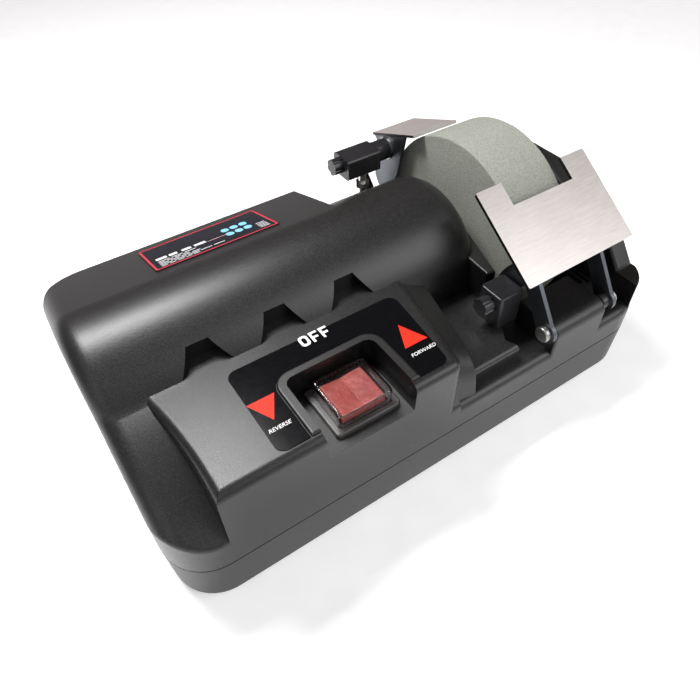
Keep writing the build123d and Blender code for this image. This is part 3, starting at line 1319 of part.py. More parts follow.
PIN_R = 3.0
with BuildPart() as rear_rest_flange:
    with BuildSketch(Plane.YZ.offset(REAR_PLATE_X)) as flange_side:
        with BuildLine() as flange_line:
            Polyline(
                rear_point(10, REAR_PLATE_T),
                rear_point(REAR_PLATE_D - 2, REAR_PLATE_T),
                (REAR_Y + 8.5, REAR_Z - 1.4),
                (REAR_TAIL_Y + 4, REAR_TAIL_Z + 6),
                (REAR_TAIL_Y, REAR_TAIL_Z),
                (REAR_TAIL_Y - 12, REAR_TAIL_Z),
                (REAR_Y - 12, REAR_Z - 12.4),
                close=True,
            )
        make_face(flange_line.edges())
        with Locations(REAR_PIVOT):
            Circle(PIN_R, mode=Mode.SUBTRACT)
    extrude(flange_side.sketch, amount=REAR_FLANGE_T)
PIECES["rear_rest_flange"] = rear_rest_flange

REAR_BLOCK_X0 = 36.0
REAR_BLOCK_X1 = 60.0
REAR_HUB_END = 69.7
with BuildPart() as rear_clamp_pin:
    x_disc(REAR_BLOCK_X0 - 4, REAR_PLATE_X + REAR_FLANGE_T + 1.5, REAR_Y, REAR_Z, PIN_R)
PIECES["rear_clamp_pin"] = rear_clamp_pin

with BuildPart() as rear_clamp_washer:
    x_disc(REAR_HUB_END + 0.3, REAR_PLATE_X, REAR_Y, REAR_Z, 7.0, PIN_R)
PIECES["rear_clamp_washer"] = rear_clamp_washer

with BuildPart() as rear_clamp_block:
    block(REAR_BLOCK_X0, REAR_BLOCK_X1, 62.5, 79.0, 95.0, 108.5)
    fillet(rear_clamp_block.edges().filter_by(Axis.X), 2.0)
    x_disc(REAR_BLOCK_X1, REAR_HUB_END, REAR_Y, REAR_Z, 6.5)
    x_hole(REAR_BLOCK_X0 - 1, REAR_HUB_END + 1, REAR_Y, REAR_Z, PIN_R + RUN_GAP)
PIECES["rear_clamp_block"] = rear_clamp_block

with BuildPart() as rear_clamp_knob:
    with BuildSketch(Plane.YZ.offset(REAR_BLOCK_X0 - 6.3)) as rear_knob_face:
        knob_sketch(REAR_Y, REAR_Z, 5.0)
    extrude(rear_knob_face.sketch, amount=6.0)
    x_hole(REAR_BLOCK_X0 - 4, REAR_BLOCK_X0, REAR_Y, REAR_Z, PIN_R + RUN_GAP)
PIECES["rear_clamp_knob"] = rear_clamp_knob

POST_Y0 = 70.5
POST_Y1 = 77.0
with BuildPart() as rear_post:
    with BuildSketch(Plane.XZ.offset(-POST_Y1)) as post_face:
        with BuildLine() as post_line:
            Polyline(
                (48.0, 95.0),
                (54.5, 95.0),
                (62.6, 74.1),
                (62.6, PLATFORM_Z),
                (56.6, PLATFORM_Z),
                (56.6, 73.0),
                close=True,
            )
        make_face(post_line.edges())
    extrude(post_face.sketch, amount=POST_Y1 - POST_Y0)
    block(54, 68, 66, 77.4, PLATFORM_Z, PLATFORM_Z + 2.5)
    z_disc(65.3, 70.0, 50, 90, 1.6, mode=Mode.SUBTRACT)
PIECES["rear_post"] = rear_post

with BuildPart() as rear_post_screw:
    z_disc(65.3, 70.0, PLATFORM_Z - 3, PLATFORM_Z + 2.5, 1.6)
    z_disc(65.3, 70.0, PLATFORM_Z + 2.5, PLATFORM_Z + 4.5, 2.3)
PIECES["rear_post_screw"] = rear_post_screw

STUD_X = 48.9
STUD_Y = 66.5
STUD_R = 2.5
with BuildPart() as rear_stud:
    z_disc(STUD_X, STUD_Y, PLATFORM_Z, 95.0, STUD_R)
PIECES["rear_stud"] = rear_stud

with BuildPart() as rear_stud_nuts:
    for nut_bottom in (PLATFORM_Z, 86.0):
        with BuildSketch(Plane.XY.offset(nut_bottom)) as stud_nut:
            with Locations((STUD_X, STUD_Y)):
                RegularPolygon(4.0, 6, major_radius=False)
                Circle(STUD_R, mode=Mode.SUBTRACT)
        extrude(stud_nut.sketch, amount=3.2)
PIECES["rear_stud_nuts"] = rear_stud_nuts

for name, piece in PIECES.items():
    piece.part.label = name
    export_step(piece.part, f"parts/{name}.step")
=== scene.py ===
"""Looks of the wet grinding sharpener, built round its CAD frame. Lengths are metres."""

import math

import bmesh
import bpy
from mathutils import Matrix, Vector


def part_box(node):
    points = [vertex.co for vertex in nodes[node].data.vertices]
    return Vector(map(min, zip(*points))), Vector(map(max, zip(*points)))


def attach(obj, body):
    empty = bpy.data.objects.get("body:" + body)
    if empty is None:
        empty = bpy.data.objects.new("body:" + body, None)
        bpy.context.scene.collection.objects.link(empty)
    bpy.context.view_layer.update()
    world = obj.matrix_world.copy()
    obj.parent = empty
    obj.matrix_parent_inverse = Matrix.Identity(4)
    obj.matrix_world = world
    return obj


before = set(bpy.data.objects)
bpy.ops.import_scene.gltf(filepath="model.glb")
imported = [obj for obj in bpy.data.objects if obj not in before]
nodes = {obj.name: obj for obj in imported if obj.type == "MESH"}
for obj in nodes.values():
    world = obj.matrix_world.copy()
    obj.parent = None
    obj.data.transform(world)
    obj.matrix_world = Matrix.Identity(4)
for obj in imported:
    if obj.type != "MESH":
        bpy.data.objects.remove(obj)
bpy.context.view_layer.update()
MM = 0.001

# ---- Camera: the viewing place and direction, in millimetres and as a rotation vector ----
CAMERA_AT = Vector((-144.14, -215.93, 302.49)) * MM
CAMERA_TURN = Vector((2.3089151, -0.7068482, 0.2516961))
LENS_MM = 31.24
SENSOR_MM = 36.0
NEAREST_M = 0.01


def make_camera():
    """The rotation vector takes the row frame to right, down and ahead as the camera sees them."""
    data = bpy.data.cameras.new("camera")
    data.sensor_width = SENSOR_MM
    data.lens = LENS_MM
    data.clip_start = NEAREST_M
    camera = bpy.data.objects.new("camera", data)
    bpy.context.scene.collection.objects.link(camera)
    to_view = Matrix.Rotation(CAMERA_TURN.length, 3, CAMERA_TURN.normalized())
    right, down, ahead = (Vector(row) for row in to_view)
    turn = Matrix((right, -down, -ahead)).transposed().to_4x4()
    camera.matrix_world = Matrix.Translation(CAMERA_AT) @ turn
    bpy.context.scene.camera = camera


# ---- Shader graphs ----
# Sockets of the Mix node for colours and for plain values: factor, first, second, result
COLOUR_MIX = (0, 6, 7, 2)
VALUE_MIX = (0, 2, 3, 0)
# The Z of a normal at which a face starts to count as looking up, and where it fully does
UP_FROM, UP_TO = 0.12, 0.5


class Graph:
    """A Principled material and short ways to add and join nodes."""

    def __init__(self, name):
        self.material = bpy.data.materials.new(name)
        self.material.use_nodes = True
        self.tree = self.material.node_tree
        self.shader = self.tree.nodes["Principled BSDF"]
        self.coords = self.add("ShaderNodeTexCoord").outputs["Object"]

    def add(self, kind, **values):
        node = self.tree.nodes.new(kind)
        for key, value in values.items():
            setattr(node, key, value)
        return node

    def join(self, output, socket):
        self.tree.links.new(output, socket)

    def noise(self, scale, detail, roughness=0.5, stretch=None):
        """Noise over object space; stretch squeezes the pattern along each axis."""
        node = self.add("ShaderNodeTexNoise")
        node.inputs["Scale"].default_value = scale
        node.inputs["Detail"].default_value = detail
        node.inputs["Roughness"].default_value = roughness
        source = self.coords
        if stretch:
            mapping = self.add("ShaderNodeMapping")
            mapping.inputs["Scale"].default_value = stretch
            self.join(self.coords, mapping.inputs["Vector"])
            source = mapping.outputs["Vector"]
        self.join(source, node.inputs["Vector"])
        return node.outputs["Fac"]

    def cells(self, scale, feature="F1"):
        """Distance to the nearest cell centre, in object space."""
        node = self.add("ShaderNodeTexVoronoi", feature=feature)
        node.inputs["Scale"].default_value = scale
        self.join(self.coords, node.inputs["Vector"])
        return node.outputs["Distance"]

    def ramp(self, factor, *stops):
        """Colours along factor; each stop is a position and an RGB colour."""
        node = self.add("ShaderNodeValToRGB")
        elements = node.color_ramp.elements
        for element, (place, colour) in zip(elements, stops):
            element.position = place
            element.color = (*colour, 1)
        self.join(factor, node.inputs["Fac"])
        return node.outputs["Color"]

    def span(self, factor, low, high, start=0.0, end=1.0):
        """Takes factor from the range start to end onto the range low to high."""
        node = self.add("ShaderNodeMapRange")
        for name, value in (
            ("From Min", start),
            ("From Max", end),
            ("To Min", low),
            ("To Max", high),
        ):
            node.inputs[name].default_value = value
        self.join(factor, node.inputs["Value"])
        return node.outputs["Result"]

    def mix(self, node, sockets, values):
        """Fills a Mix node with links or constants and gives its result."""
        *inputs, result = sockets
        for value, index in zip(values, inputs):
            if isinstance(value, bpy.types.NodeSocket):
                self.join(value, node.inputs[index])
            else:
                node.inputs[index].default_value = value
        return node.outputs[result]

    def blend(self, factor, first, second, mode="MIX"):
        node = self.add("ShaderNodeMix", data_type="RGBA", blend_type=mode)
        return self.mix(node, COLOUR_MIX, (factor, first, second))

    def mix_value(self, factor, first, second):
        node = self.add("ShaderNodeMix", data_type="FLOAT")
        return self.mix(node, VALUE_MIX, (factor, first, second))

    def upward(self):
        """One on faces that look up as the piece is built, nought on walls."""
        facing = self.add("ShaderNodeTexCoord").outputs["Normal"]
        parts = self.add("ShaderNodeSeparateXYZ")
        self.join(facing, parts.inputs["Vector"])
        return self.span(parts.outputs["Z"], 0.0, 1.0, UP_FROM, UP_TO)

    def bump(self, height, distance, strength):
        node = self.add("ShaderNodeBump")
        node.inputs["Distance"].default_value = distance
        node.inputs["Strength"].default_value = strength
        self.join(height, node.inputs["Height"])
        return node.outputs["Normal"]

    def finish(self, colour, roughness, normal, **fixed):
        """Joins the three outputs, sets the other inputs by name, and gives the material."""
        for key, value in fixed.items():
            self.shader.inputs[key.replace("_", " ")].default_value = value
        self.join(colour, self.shader.inputs["Base Color"])
        self.join(roughness, self.shader.inputs["Roughness"])
        self.join(normal, self.shader.inputs["Normal"])
        return self.material


def shade(colour, factor):
    """The colour made lighter or darker, no channel over one."""
    return tuple(min(1.0, channel * factor) for channel in colour)


# ---- Materials ----
# Painted shade: the near-black put on the steel plates' undersides and edges in place of the
# steel's colour
PAINTED_SHADE_BLACK = (0.02, 0.02, 0.021, 1)
WHITE = (1.0, 1.0, 1.0)


def moulded_abs(name, colour, grain_tint, smooth, rough):
    """Black moulding: grained faces that look up, smoother and slightly uneven walls."""
    graph = Graph(name)
    grain = graph.noise(1500.0, 2.0, 0.65)
    broad = graph.noise(14.0, 3.0)
    upward = graph.upward()
    walls = graph.ramp(broad, (0.3, shade(colour, 0.85)), (0.7, shade(colour, 1.2)))
    tops = graph.ramp(grain, (0.36, shade(grain_tint, 0.45)), (0.66, shade(grain_tint, 1.7)))
    tint = graph.blend(upward, walls, tops)
    grain_gloss = graph.span(grain, rough - 0.1, rough + 0.1)
    wall_gloss = graph.span(broad, smooth - 0.05, smooth + 0.08)
    gloss = graph.mix_value(upward, wall_gloss, grain_gloss)
    normal = graph.bump(grain, 0.00008, 0.5)
    return graph.finish(tint, gloss, normal)


def plastic(name, colour, roughness):
    """Smooth moulded plastic with uneven gloss and the faintest orange peel."""
    graph = Graph(name)
    fine = graph.noise(700.0, 2.0)
    broad = graph.noise(60.0, 3.0)
    tint = graph.ramp(broad, (0.3, shade(colour, 0.8)), (0.7, shade(colour, 1.25)))
    gloss = graph.span(fine, roughness - 0.06, roughness + 0.08)
    return graph.finish(tint, gloss, graph.bump(fine, 0.00003, 0.6))


def metal(name, colour, roughness, grain=400.0, depth=0.00002, spots=0.12):
    """Plated or turned metal with fine scratches in its gloss and darker handled patches."""
    graph = Graph(name)
    fine = graph.noise(grain, 4.0, 0.7, (1.0, 6.0, 6.0))
    broad = graph.noise(45.0, 3.0)
    tint = graph.ramp(broad, (0.3, shade(colour, 1 - spots)), (0.7, shade(colour, 1 + spots)))
    gloss = graph.span(fine, roughness - 0.1, roughness + 0.12)
    return graph.finish(tint, gloss, graph.bump(fine, depth, 0.5), Metallic=1.0)


def brushed_sheet(name, colour):
    """Sheet brushed along X, with painted shade in near-black on its underside and edges, and warm
    cloudy patches.
    """
    graph = Graph(name)
    scratches = graph.noise(160.0, 6.0, 0.75, (0.5, 6.0, 6.0))
    clouds = graph.noise(26.0, 3.0)
    lines = graph.ramp(scratches, (0.3, shade(colour, 0.86)), (0.68, shade(colour, 1.08)))
    patch = graph.ramp(clouds, (0.3, (0.94, 0.91, 0.89)), (0.72, WHITE))
    tint = graph.blend(0.8, lines, patch, "MULTIPLY")
    # Painted shade: faces that do not look up get near-black instead of the brushed steel
    tint = graph.blend(graph.upward(), PAINTED_SHADE_BLACK, tint)
    gloss = graph.span(scratches, 0.3, 0.5)
    normal = graph.bump(scratches, 0.00003, 0.5)
    return graph.finish(tint, gloss, normal, Metallic=0.85)


def abrasive_stone(name, light, dark):
    """Pressed grit: pale grains in a darker bond, with darker flecks and faint clouds."""
    graph = Graph(name)
    grit = graph.cells(900.0)
    speckle = graph.noise(2200.0, 2.0, 0.7)
    clouds = graph.noise(30.0, 4.0)
    grains = graph.ramp(grit, (0.1, dark), (0.55, light))
    spots = graph.ramp(speckle, (0.3, (0.72, 0.72, 0.7)), (0.62, WHITE))
    patch = graph.ramp(clouds, (0.3, (0.93, 0.94, 0.91)), (0.7, WHITE))
    tint = graph.blend(0.55, grains, spots, "MULTIPLY")
    tint = graph.blend(1.0, tint, patch, "MULTIPLY")
    gloss = graph.span(speckle, 0.82, 0.98)
    return graph.finish(tint, gloss, graph.bump(grit, 0.00025, 0.5), Specular_IOR_Level=0.25)


def rubber(name, colour):
    """Dull rubber, carbon or ferrite with paler dusty patches."""
    graph = Graph(name)
    fine = graph.noise(1100.0, 3.0)
    dust = graph.noise(80.0, 4.0)
    tint = graph.ramp(dust, (0.35, colour), (0.8, shade(colour, 2.0)))
    gloss = graph.span(fine, 0.75, 0.92)
    return graph.finish(tint, gloss, graph.bump(fine, 0.00005, 0.5))


def printed_film(name, colour, roughness):
    """Laminated film: nearly even colour, slight ripple, small smears in the gloss."""
    graph = Graph(name)
    ripple = graph.noise(90.0, 2.0)
    smear = graph.noise(300.0, 3.0, 0.6, (1.0, 2.5, 1.0))
    tint = graph.ramp(smear, (0.3, shade(colour, 0.85)), (0.75, shade(colour, 1.2)))
    gloss = graph.span(smear, roughness - 0.05, roughness + 0.09)
    return graph.finish(tint, gloss, graph.bump(ripple, 0.00004, 0.4), Specular_IOR_Level=0.07)


def ink(name, colour):
    """Screen-printed ink, with the mesh's faint unevenness."""
    graph = Graph(name)
    mesh = graph.cells(2600.0)
    tint = graph.ramp(mesh, (0.1, shade(colour, 0.93)), (0.6, colour))
    gloss = graph.span(mesh, 0.32, 0.42)
    return graph.finish(tint, gloss, graph.bump(mesh, 0.00001, 0.4), Specular_IOR_Level=0.1)


def rocker_plastic(name):
    """Translucent red lens with a pebbled face."""
    graph = Graph(name)
    pebble = graph.cells(420.0, "SMOOTH_F1")
    clouds = graph.noise(160.0, 3.0)
    tint = graph.ramp(clouds, (0.3, (0.42, 0.08, 0.075)), (0.7, (0.54, 0.15, 0.135)))
    gloss = graph.span(pebble, 0.18, 0.34)
    normal = graph.bump(pebble, 0.0003, 0.5)
    return graph.finish(tint, gloss, normal, Subsurface_Weight=0.35, Subsurface_Scale=0.002)


def clear_vinyl(name):
    """Clear soft cover, slightly milky, with a wavy surface."""
    graph = Graph(name)
    wave = graph.noise(240.0, 2.0)
    haze = graph.noise(900.0, 3.0)
    tint = graph.ramp(haze, (0.3, (0.9, 0.88, 0.88)), (0.7, (1.0, 0.98, 0.98)))
    gloss = graph.span(haze, 0.04, 0.14)
    normal = graph.bump(wave, 0.0004, 0.35)
    return graph.finish(tint, gloss, normal, Transmission_Weight=1.0, IOR=1.3)


def laminations(name, colour, pitch):
    """Stacked sheet steel, wound wire or copper bars, banded along X."""
    graph = Graph(name)
    wave = graph.add("ShaderNodeTexWave", wave_type="BANDS", bands_direction="X")
    wave.inputs["Scale"].default_value = 1 / pitch
    wave.inputs["Distortion"].default_value = 0.4
    graph.join(graph.coords, wave.inputs["Vector"])
    bands = wave.outputs["Fac"]
    tint = graph.ramp(bands, (0.2, shade(colour, 0.5)), (0.7, shade(colour, 1.2)))
    gloss = graph.span(bands, 0.5, 0.3)
    return graph.finish(tint, gloss, graph.bump(bands, 0.0002, 0.6), Metallic=0.8)


def glass_fibre_board(name):
    """Green laminate with the weave showing faintly."""
    graph = Graph(name)
    weave = graph.noise(500.0, 3.0, 0.6, (1.0, 6.0, 1.0))
    tint = graph.ramp(weave, (0.3, (0.012, 0.09, 0.035)), (0.7, (0.03, 0.17, 0.07)))
    gloss = graph.span(weave, 0.25, 0.4)
    return graph.finish(tint, gloss, graph.bump(weave, 0.00005, 0.5))


def paper_floor(name):
    """White paper on a light table, so that shadows on it stay pale."""
    graph = Graph(name)
    fibres = graph.noise(60.0, 5.0)
    tint = graph.ramp(fibres, (0.3, (0.9, 0.9, 0.895)), (0.7, (0.94, 0.94, 0.935)))
    gloss = graph.span(fibres, 0.75, 0.9)
    graph.join(tint, graph.shader.inputs["Emission Color"])
    return graph.finish(tint, gloss, graph.bump(fibres, 0.0001, 0.2), Emission_Strength=0.45)


def assign(material, *names):
    """Gives the named nodes one material."""
    for name in names:
        slots = nodes[name].data.materials
        slots.clear()
        slots.append(material)


# ---- Stage ----
FLOOR_HALF = 3.0
FLOOR_DROP = 0.0002
# A near box over the left end's back and two broad lights in front: each one's place, the point
# it faces, its width and height, and its power in watts
LIGHTS = {
    "overhead": ((-0.13, 0.19, 0.56), (-0.13, 0.1, 0.0), (0.27, 0.17), 4.4),
    "right_front": ((0.7, -0.85, 0.8), (0.0, 0.0, 0.05), (0.8, 0.8), 7.0),
    "left_front": ((-0.9, -0.55, 0.7), (0.0, 0.0, 0.05), (0.8, 0.8), 1.0),
}
# The room grows from dark behind the machine to light in front of it, along this direction
ROOM_ALONG = (-0.25, -0.85, 0.3)
ROOM_DARK = (0.2, 0.13, 0.13, 1)
ROOM_LIGHT = (0.95, 0.96, 1.0, 1)
ROOM_LIGHT_FROM = 0.7
ROOM_STRENGTH = 0.5


def make_floor():
    """A large pale floor just under the feet."""
    mesh = bpy.data.meshes.new("floor")
    half = FLOOR_HALF
    corners = [(-half, -half, 0), (half, -half, 0), (half, half, 0), (-half, half, 0)]
    mesh.from_pydata(corners, [], [(0, 1, 2, 3)])
    mesh.materials.append(paper_floor("floor_paper"))
    floor = bpy.data.objects.new("floor", mesh)
    floor.location.z = -FLOOR_DROP
    bpy.context.scene.collection.objects.link(floor)


def area_light(name, place, aim, size, power):
    """A soft rectangular light at place, facing aim."""
    data = bpy.data.lights.new(name, "AREA")
    data.shape = "RECTANGLE"
    data.size, data.size_y = size
    data.energy = power
    light = bpy.data.objects.new(name, data)
    bpy.context.scene.collection.objects.link(light)
    light.location = place
    light.rotation_euler = (Vector(aim) - Vector(place)).to_track_quat("-Z", "Y").to_euler()


def make_room():
    """A world that is light in front of the machine and dark behind it."""
    world = bpy.data.worlds.new("studio")
    bpy.context.scene.world = world
    world.use_nodes = True
    tree = world.node_tree
    coords = tree.nodes.new("ShaderNodeTexCoord")
    gradient = tree.nodes.new("ShaderNodeVectorMath")
    gradient.operation = "DOT_PRODUCT"
    gradient.inputs[1].default_value = ROOM_ALONG
    ramp = tree.nodes.new("ShaderNodeValToRGB")
    dark, light = ramp.color_ramp.elements
    dark.color = ROOM_DARK
    light.color = ROOM_LIGHT
    light.position = ROOM_LIGHT_FROM
    tree.links.new(coords.outputs["Generated"], gradient.inputs[0])
    tree.links.new(gradient.outputs["Value"], ramp.inputs["Fac"])
    background = tree.nodes["Background"]
    tree.links.new(ramp.outputs["Color"], background.inputs["Color"])
    background.inputs["Strength"].default_value = ROOM_STRENGTH


# ---- Prints on the decal and the label, drawn in millimetres ----
PRINT_T = 0.03
# The plain letters of OFF: how round the O is and where the F's arm lies, as parts of their size
LETTER_ROUND = 0.38
ARM_HEIGHT = 0.55
ARM_LENGTH = 0.88
# The small words: typeface size for a capital's height, slant, and how much bolder they are
FONT_SIZE_PER_CAP = 1.38
SLANT = 0.25
BOLDER = 0.012


def lay_print(name, mesh, place, material):
    """Puts a mesh drawn in millimetres on the housing, at place, in one ink."""
    mesh.transform(place @ Matrix.Scale(MM, 4))
    mesh.materials.clear()
    mesh.materials.append(material)
    piece = bpy.data.objects.new(name, mesh)
    bpy.context.scene.collection.objects.link(piece)
    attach(piece, "housing")


def print_sheet(name, shapes, place, material):
    """Thin raised ink: each shape is an outline, with an outline of its hole or None."""
    mesh = bpy.data.meshes.new(name)
    build = bmesh.new()
    for outline, hole in shapes:
        lower = [build.verts.new((x, y, 0.0)) for x, y in outline]
        upper = [build.verts.new((x, y, PRINT_T)) for x, y in outline]
        count = len(outline)
        if hole:
            lower_in = [build.verts.new((x, y, 0.0)) for x, y in hole]
            upper_in = [build.verts.new((x, y, PRINT_T)) for x, y in hole]
        for i in range(count):
            j = (i + 1) % count
            build.faces.new((lower[i], lower[j], upper[j], upper[i]))
            if hole:
                build.faces.new((upper[i], upper[j], upper_in[j], upper_in[i]))
                build.faces.new((lower[j], lower[i], lower_in[i], lower_in[j]))
                build.faces.new((lower_in[j], lower_in[i], upper_in[i], upper_in[j]))
        if not hole:
            build.faces.new(upper)
            build.faces.new(list(reversed(lower)))
    bmesh.ops.triangulate(build, faces=[f for f in build.faces if len(f.verts) > 4])
    build.to_mesh(mesh)
    build.free()
    lay_print(name, mesh, place, material)


def rounded_box(x0, y0, x1, y1, radius):
    """Counter-clockwise outline of a rectangle with round corners."""
    steps = 5
    points = []
    corners = (
        (x1 - radius, y0 + radius, -90),
        (x1 - radius, y1 - radius, 0),
        (x0 + radius, y1 - radius, 90),
        (x0 + radius, y0 + radius, 180),
    )
    for centre_x, centre_y, start in corners:
        for step in range(steps + 1):
            angle = math.radians(start + 90 * step / steps)
            x = centre_x + radius * math.cos(angle)
            y = centre_y + radius * math.sin(angle)
            points.append((x, y))
    return points


def bar(x, y, length, height, radius):
    """A solid bar with round corners, from its lower left corner."""
    return (rounded_box(x, y, x + length, y + height, radius), None)


def frame_of(x0, y0, x1, y1, width, outer_radius, inner_radius):
    """A rectangular ring, width wide inside the given corners."""
    inner = rounded_box(x0 + width, y0 + width, x1 - width, y1 - width, inner_radius)
    return (rounded_box(x0, y0, x1, y1, outer_radius), inner)


def letter_o(x, y, width, height, stroke):
    """An O from its lower left corner."""
    round_outside = width * LETTER_ROUND
    round_inside = round_outside - stroke / 2
    return frame_of(x, y, x + width, y + height, stroke, round_outside, round_inside)


def letter_f(x, y, width, height, stroke):
    """An F from its lower left corner."""
    arm = y + height * ARM_HEIGHT
    arm_end = x + width * ARM_LENGTH
    outline = [
        (x, y),
        (x + stroke, y),
        (x + stroke, arm - stroke),
        (arm_end, arm - stroke),
        (arm_end, arm),
        (x + stroke, arm),
        (x + stroke, y + height - stroke),
        (x + width, y + height - stroke),
        (x + width, y + height),
        (x, y + height),
    ]
    return (outline, None)


def word(name, text, centre, height, place, material):
    """A small slanted word in Blender's own plain typeface, turned into mesh."""
    curve = bpy.data.curves.new(name + "_curve", "FONT")
    curve.body = text
    curve.align_x = "CENTER"
    curve.size = height * FONT_SIZE_PER_CAP
    curve.shear = SLANT
    curve.offset = height * BOLDER
    curve.extrude = PRINT_T / 2
    letters = bpy.data.objects.new(name + "_curve", curve)
    mesh = bpy.data.meshes.new_from_object(letters)
    bpy.data.objects.remove(letters)
    mesh.name = name
    mesh.transform(Matrix.Translation((*centre, PRINT_T / 2)))
    lay_print(name, mesh, place, material)


# The height, stroke and base line of OFF, and the height of the small words
OFF_CAP, OFF_STROKE, OFF_BASE = 7.0, 1.35, -36.9
SMALL_CAP = 2.1


def make_decal_prints():
    """OFF at the back, a red arrow and a small word on each leg, placed by the frame's X and Y."""
    top = Matrix.Translation((0, 0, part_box("control_decal")[1][2]))
    white = ink("ink_white", (0.86, 0.86, 0.85))
    red = ink("ink_red", (0.83, 0.035, 0.018))
    off = [
        letter_o(-56.2, OFF_BASE, 5.0, OFF_CAP, OFF_STROKE),
        letter_f(-50.0, OFF_BASE, 4.4, OFF_CAP, OFF_STROKE),
        letter_f(-44.4, OFF_BASE, 4.4, OFF_CAP, OFF_STROKE),
    ]
    print_sheet("decal_off", off, top, white)
    arrows = [
        ([(-95.2, -53.0), (-88.4, -66.3), (-81.2, -53.0)], None),
        ([(-16.5, -65.2), (-3.2, -65.2), (-9.9, -50.4)], None),
    ]
    print_sheet("decal_arrows", arrows, top, red)
    word("decal_reverse", "REVERSE", (-88.3, -71.8), SMALL_CAP, top, white)
    word("decal_forward", "FORWARD", (-9.9, -71.6), SMALL_CAP, top, white)


# The label: its thickness, the slope it lies on and its frame
LABEL_T = 0.4
LABEL_SLOPE = math.radians(17.9)
FRAME_INSET = 0.5
FRAME_WIDTH = 1.2
# Small print: its indent, first line, step between lines, and a bar's height and the gap after it
TEXT_INDENT = 4.5
TEXT_Y, TEXT_STEP = 3.4, 1.9
TEXT_BAR, TEXT_GAP = 0.75, 1.0
# The heading's line, and the step between its bars and their height
HEADING_Y, HEADING_STEP, HEADING_BAR = 13.6, 7.2, 3.2
# The short lines at the right: how far in from that side, first line, step, length and height
NOTE_INSET, NOTE_Y, NOTE_STEP = 9.5, 4.2, 2.0
NOTE_LENGTH, NOTE_BAR = 5.5, 0.7
# The dots: how far in from the right, first row, steps, and one dot's size and corner radius
DOT_INSET, DOT_Y = 27.0, 10.0
DOT_STEP_X, DOT_STEP_Y = 5.4, 8.0
DOT_WIDTH, DOT_HEIGHT, DOT_ROUND = 4.4, 5.6, 2.1
# The thin rule between the heading and the dots
RULE_INDENT, RULE_LENGTH, RULE_BAR = 33.5, 13.5, 0.6


def label_lines(left, right):
    """Rows of bars for small print, four larger ones for a heading, and five at the right."""
    lines = []
    for row in range(5):
        x = left + TEXT_INDENT
        for place in range(5 - row // 2):
            length = 3.4 + 1.5 * ((place * 3 + row * 2) % 3)
            lines.append(bar(x, TEXT_Y + TEXT_STEP * row, length, TEXT_BAR, 0.25))
            x += length + TEXT_GAP
    for place, length in enumerate((6.0, 4.6, 5.4, 6.6)):
        x = left + TEXT_INDENT + HEADING_STEP * place
        lines.append(bar(x, HEADING_Y, length, HEADING_BAR, 0.5))
    for row in range(5):
        y = NOTE_Y + NOTE_STEP * row
        lines.append(bar(right - NOTE_INSET, y, NOTE_LENGTH, NOTE_BAR, 0.2))
    return lines


def label_dots(right):
    """Three columns of two dots."""
    dots = []
    for column in range(3):
        for row in range(2):
            x = right - DOT_INSET + DOT_STEP_X * column
            y = DOT_Y + DOT_STEP_Y * row
            dots.append(bar(x, y, DOT_WIDTH, DOT_HEIGHT, DOT_ROUND))
    return dots


def make_label_prints():
    """A red frame, lines of small plain bars and six pale blue dots."""
    low, high = (Vector(corner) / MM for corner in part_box("rating_label"))
    left, right = low.x, high.x
    overhang = LABEL_T * math.sin(LABEL_SLOPE)
    depth = (high.y - low.y - overhang) / math.cos(LABEL_SLOPE)
    crest = Vector((0, low.y + overhang, high.z)) * MM
    place = Matrix.Translation(crest) @ Matrix.Rotation(-LABEL_SLOPE, 4, "X")
    near, far = FRAME_INSET, depth - FRAME_INSET
    edge = frame_of(left + FRAME_INSET, near, right - FRAME_INSET, far, FRAME_WIDTH, 1.2, 0.4)
    rule = bar(left + RULE_INDENT, HEADING_Y, RULE_LENGTH, RULE_BAR, 0.2)
    for name, shapes, ink_name, colour in (
        ("label_frame", [edge], "label_red", (0.42, 0.035, 0.05)),
        ("label_rule", [rule], "label_pink", (0.5, 0.3, 0.36)),
        ("label_lines", label_lines(left, right), "label_white", (0.6, 0.6, 0.6)),
        ("label_dots", label_dots(right), "label_blue", (0.2, 0.5, 0.66)),
    ):
        print_sheet(name, shapes, place, ink(ink_name, colour))


# ---- The scene ----
make_camera()
make_floor()
for light_name, settings in LIGHTS.items():
    area_light(light_name, *settings)
make_room()
bpy.context.scene.view_settings.view_transform = "Standard"

assign(
    moulded_abs("abs_upper", (0.0065, 0.006, 0.006), (0.012, 0.012, 0.0118), 0.26, 0.38),
    "upper_housing",
)
assign(
    moulded_abs("abs_lower", (0.009, 0.009, 0.0088), (0.011, 0.011, 0.011), 0.34, 0.45),
    "lower_housing",
)
assign(plastic("trough_black", (0.022, 0.022, 0.024), 0.42), "water_trough")
assign(rubber("foot_rubber", (0.018, 0.018, 0.018)), "rubber_feet", "trough_seal", "shaft_seal")
assign(printed_film("decal_film", (0.004, 0.004, 0.005), 0.16), "control_decal")
assign(printed_film("label_film", (0.006, 0.007, 0.012), 0.28), "rating_label")
assign(
    plastic("fitting_black", (0.014, 0.014, 0.016), 0.33),
    "front_clamp_block",
    "front_clamp_knob",
    "rear_clamp_block",
    "rear_clamp_knob",
    "rear_post",
    "cable_gland",
    "front_pivot_spacer",
)
assign(plastic("switch_frame", (0.05, 0.046, 0.044), 0.3), "switch_body")
assign(rocker_plastic("rocker_lens"), "switch_rocker")
assign(clear_vinyl("vinyl"), "switch_splash_cover")
assign(abrasive_stone("grit_stone", (0.33, 0.34, 0.3), (0.235, 0.245, 0.218)), "grinding_wheel")
# Both plates are one stainless steel: their different colours are painted light and shade, evening
# out how brightly each plate is lit
assign(brushed_sheet("front_plate_steel", (0.64, 0.61, 0.59)), "front_rest_plate")
assign(brushed_sheet("rear_plate_steel", (0.76, 0.72, 0.69)), "rear_rest_plate")
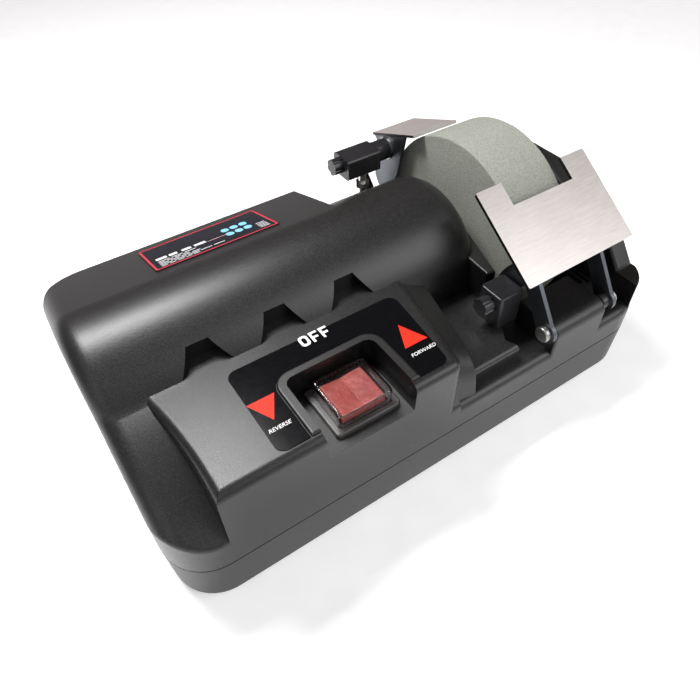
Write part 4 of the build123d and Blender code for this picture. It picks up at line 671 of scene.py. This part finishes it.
assign(
    metal("black_steel", (0.12, 0.128, 0.142), 0.42, 500.0, 0.00003, 0.25),
    "front_rest_left_arm",
    "front_rest_right_arm",
    "rear_rest_flange",
)
assign(metal("zinc_plate", (0.4, 0.395, 0.38), 0.36), "front_pivot_bolts", "rear_clamp_washer")
assign(metal("zinc_stud", (0.62, 0.61, 0.58), 0.32), "rear_stud", "rear_stud_nuts")
assign(
    metal("screw_steel", (0.5, 0.5, 0.5), 0.34),
    "case_screws",
    "gearbox_screws",
    "motor_screws",
    "rear_post_screw",
    "rear_clamp_pin",
    "switch_terminals",
)
assign(
    metal("turned_steel", (0.56, 0.55, 0.53), 0.26, 700.0),
    "wheel_shaft",
    "inner_flange",
    "outer_flange",
    "arbor_nut",
    "idler_axle",
    "motor_shaft",
    "motor_pinion",
)
assign(metal("sinter_bronze", (0.5, 0.3, 0.12), 0.42), "shaft_bushings", "motor_bushings")
assign(
    plastic("acetal", (0.62, 0.6, 0.53), 0.38),
    "wheel_bush",
    "output_gear",
    "idler_gear",
    "motor_straps",
)
assign(plastic("grey_nylon", (0.12, 0.12, 0.125), 0.45), "gearbox_cover", "cooling_fan")
assign(metal("zinc_casting", (0.4, 0.4, 0.39), 0.5, 300.0, 0.00006), "gear_plate")
assign(metal("motor_steel", (0.45, 0.45, 0.44), 0.36), "motor_can", "motor_front_cap")
assign(plastic("phenolic", (0.03, 0.02, 0.015), 0.45), "motor_rear_cap")
assign(laminations("core_stack", (0.3, 0.3, 0.31), 0.001), "armature_core")
assign(laminations("winding_copper", (0.55, 0.22, 0.08), 0.0008), "armature_windings")
assign(laminations("commutator_copper", (0.7, 0.34, 0.14), 0.004), "commutator")
assign(rubber("brush_carbon", (0.02, 0.02, 0.022)), "brushes")
assign(rubber("ferrite", (0.045, 0.042, 0.042)), "field_magnets")
assign(glass_fibre_board("board_laminate"), "control_board")
assign(plastic("board_parts_black", (0.03, 0.032, 0.04), 0.4), "board_components")

make_decal_prints()
make_label_prints()
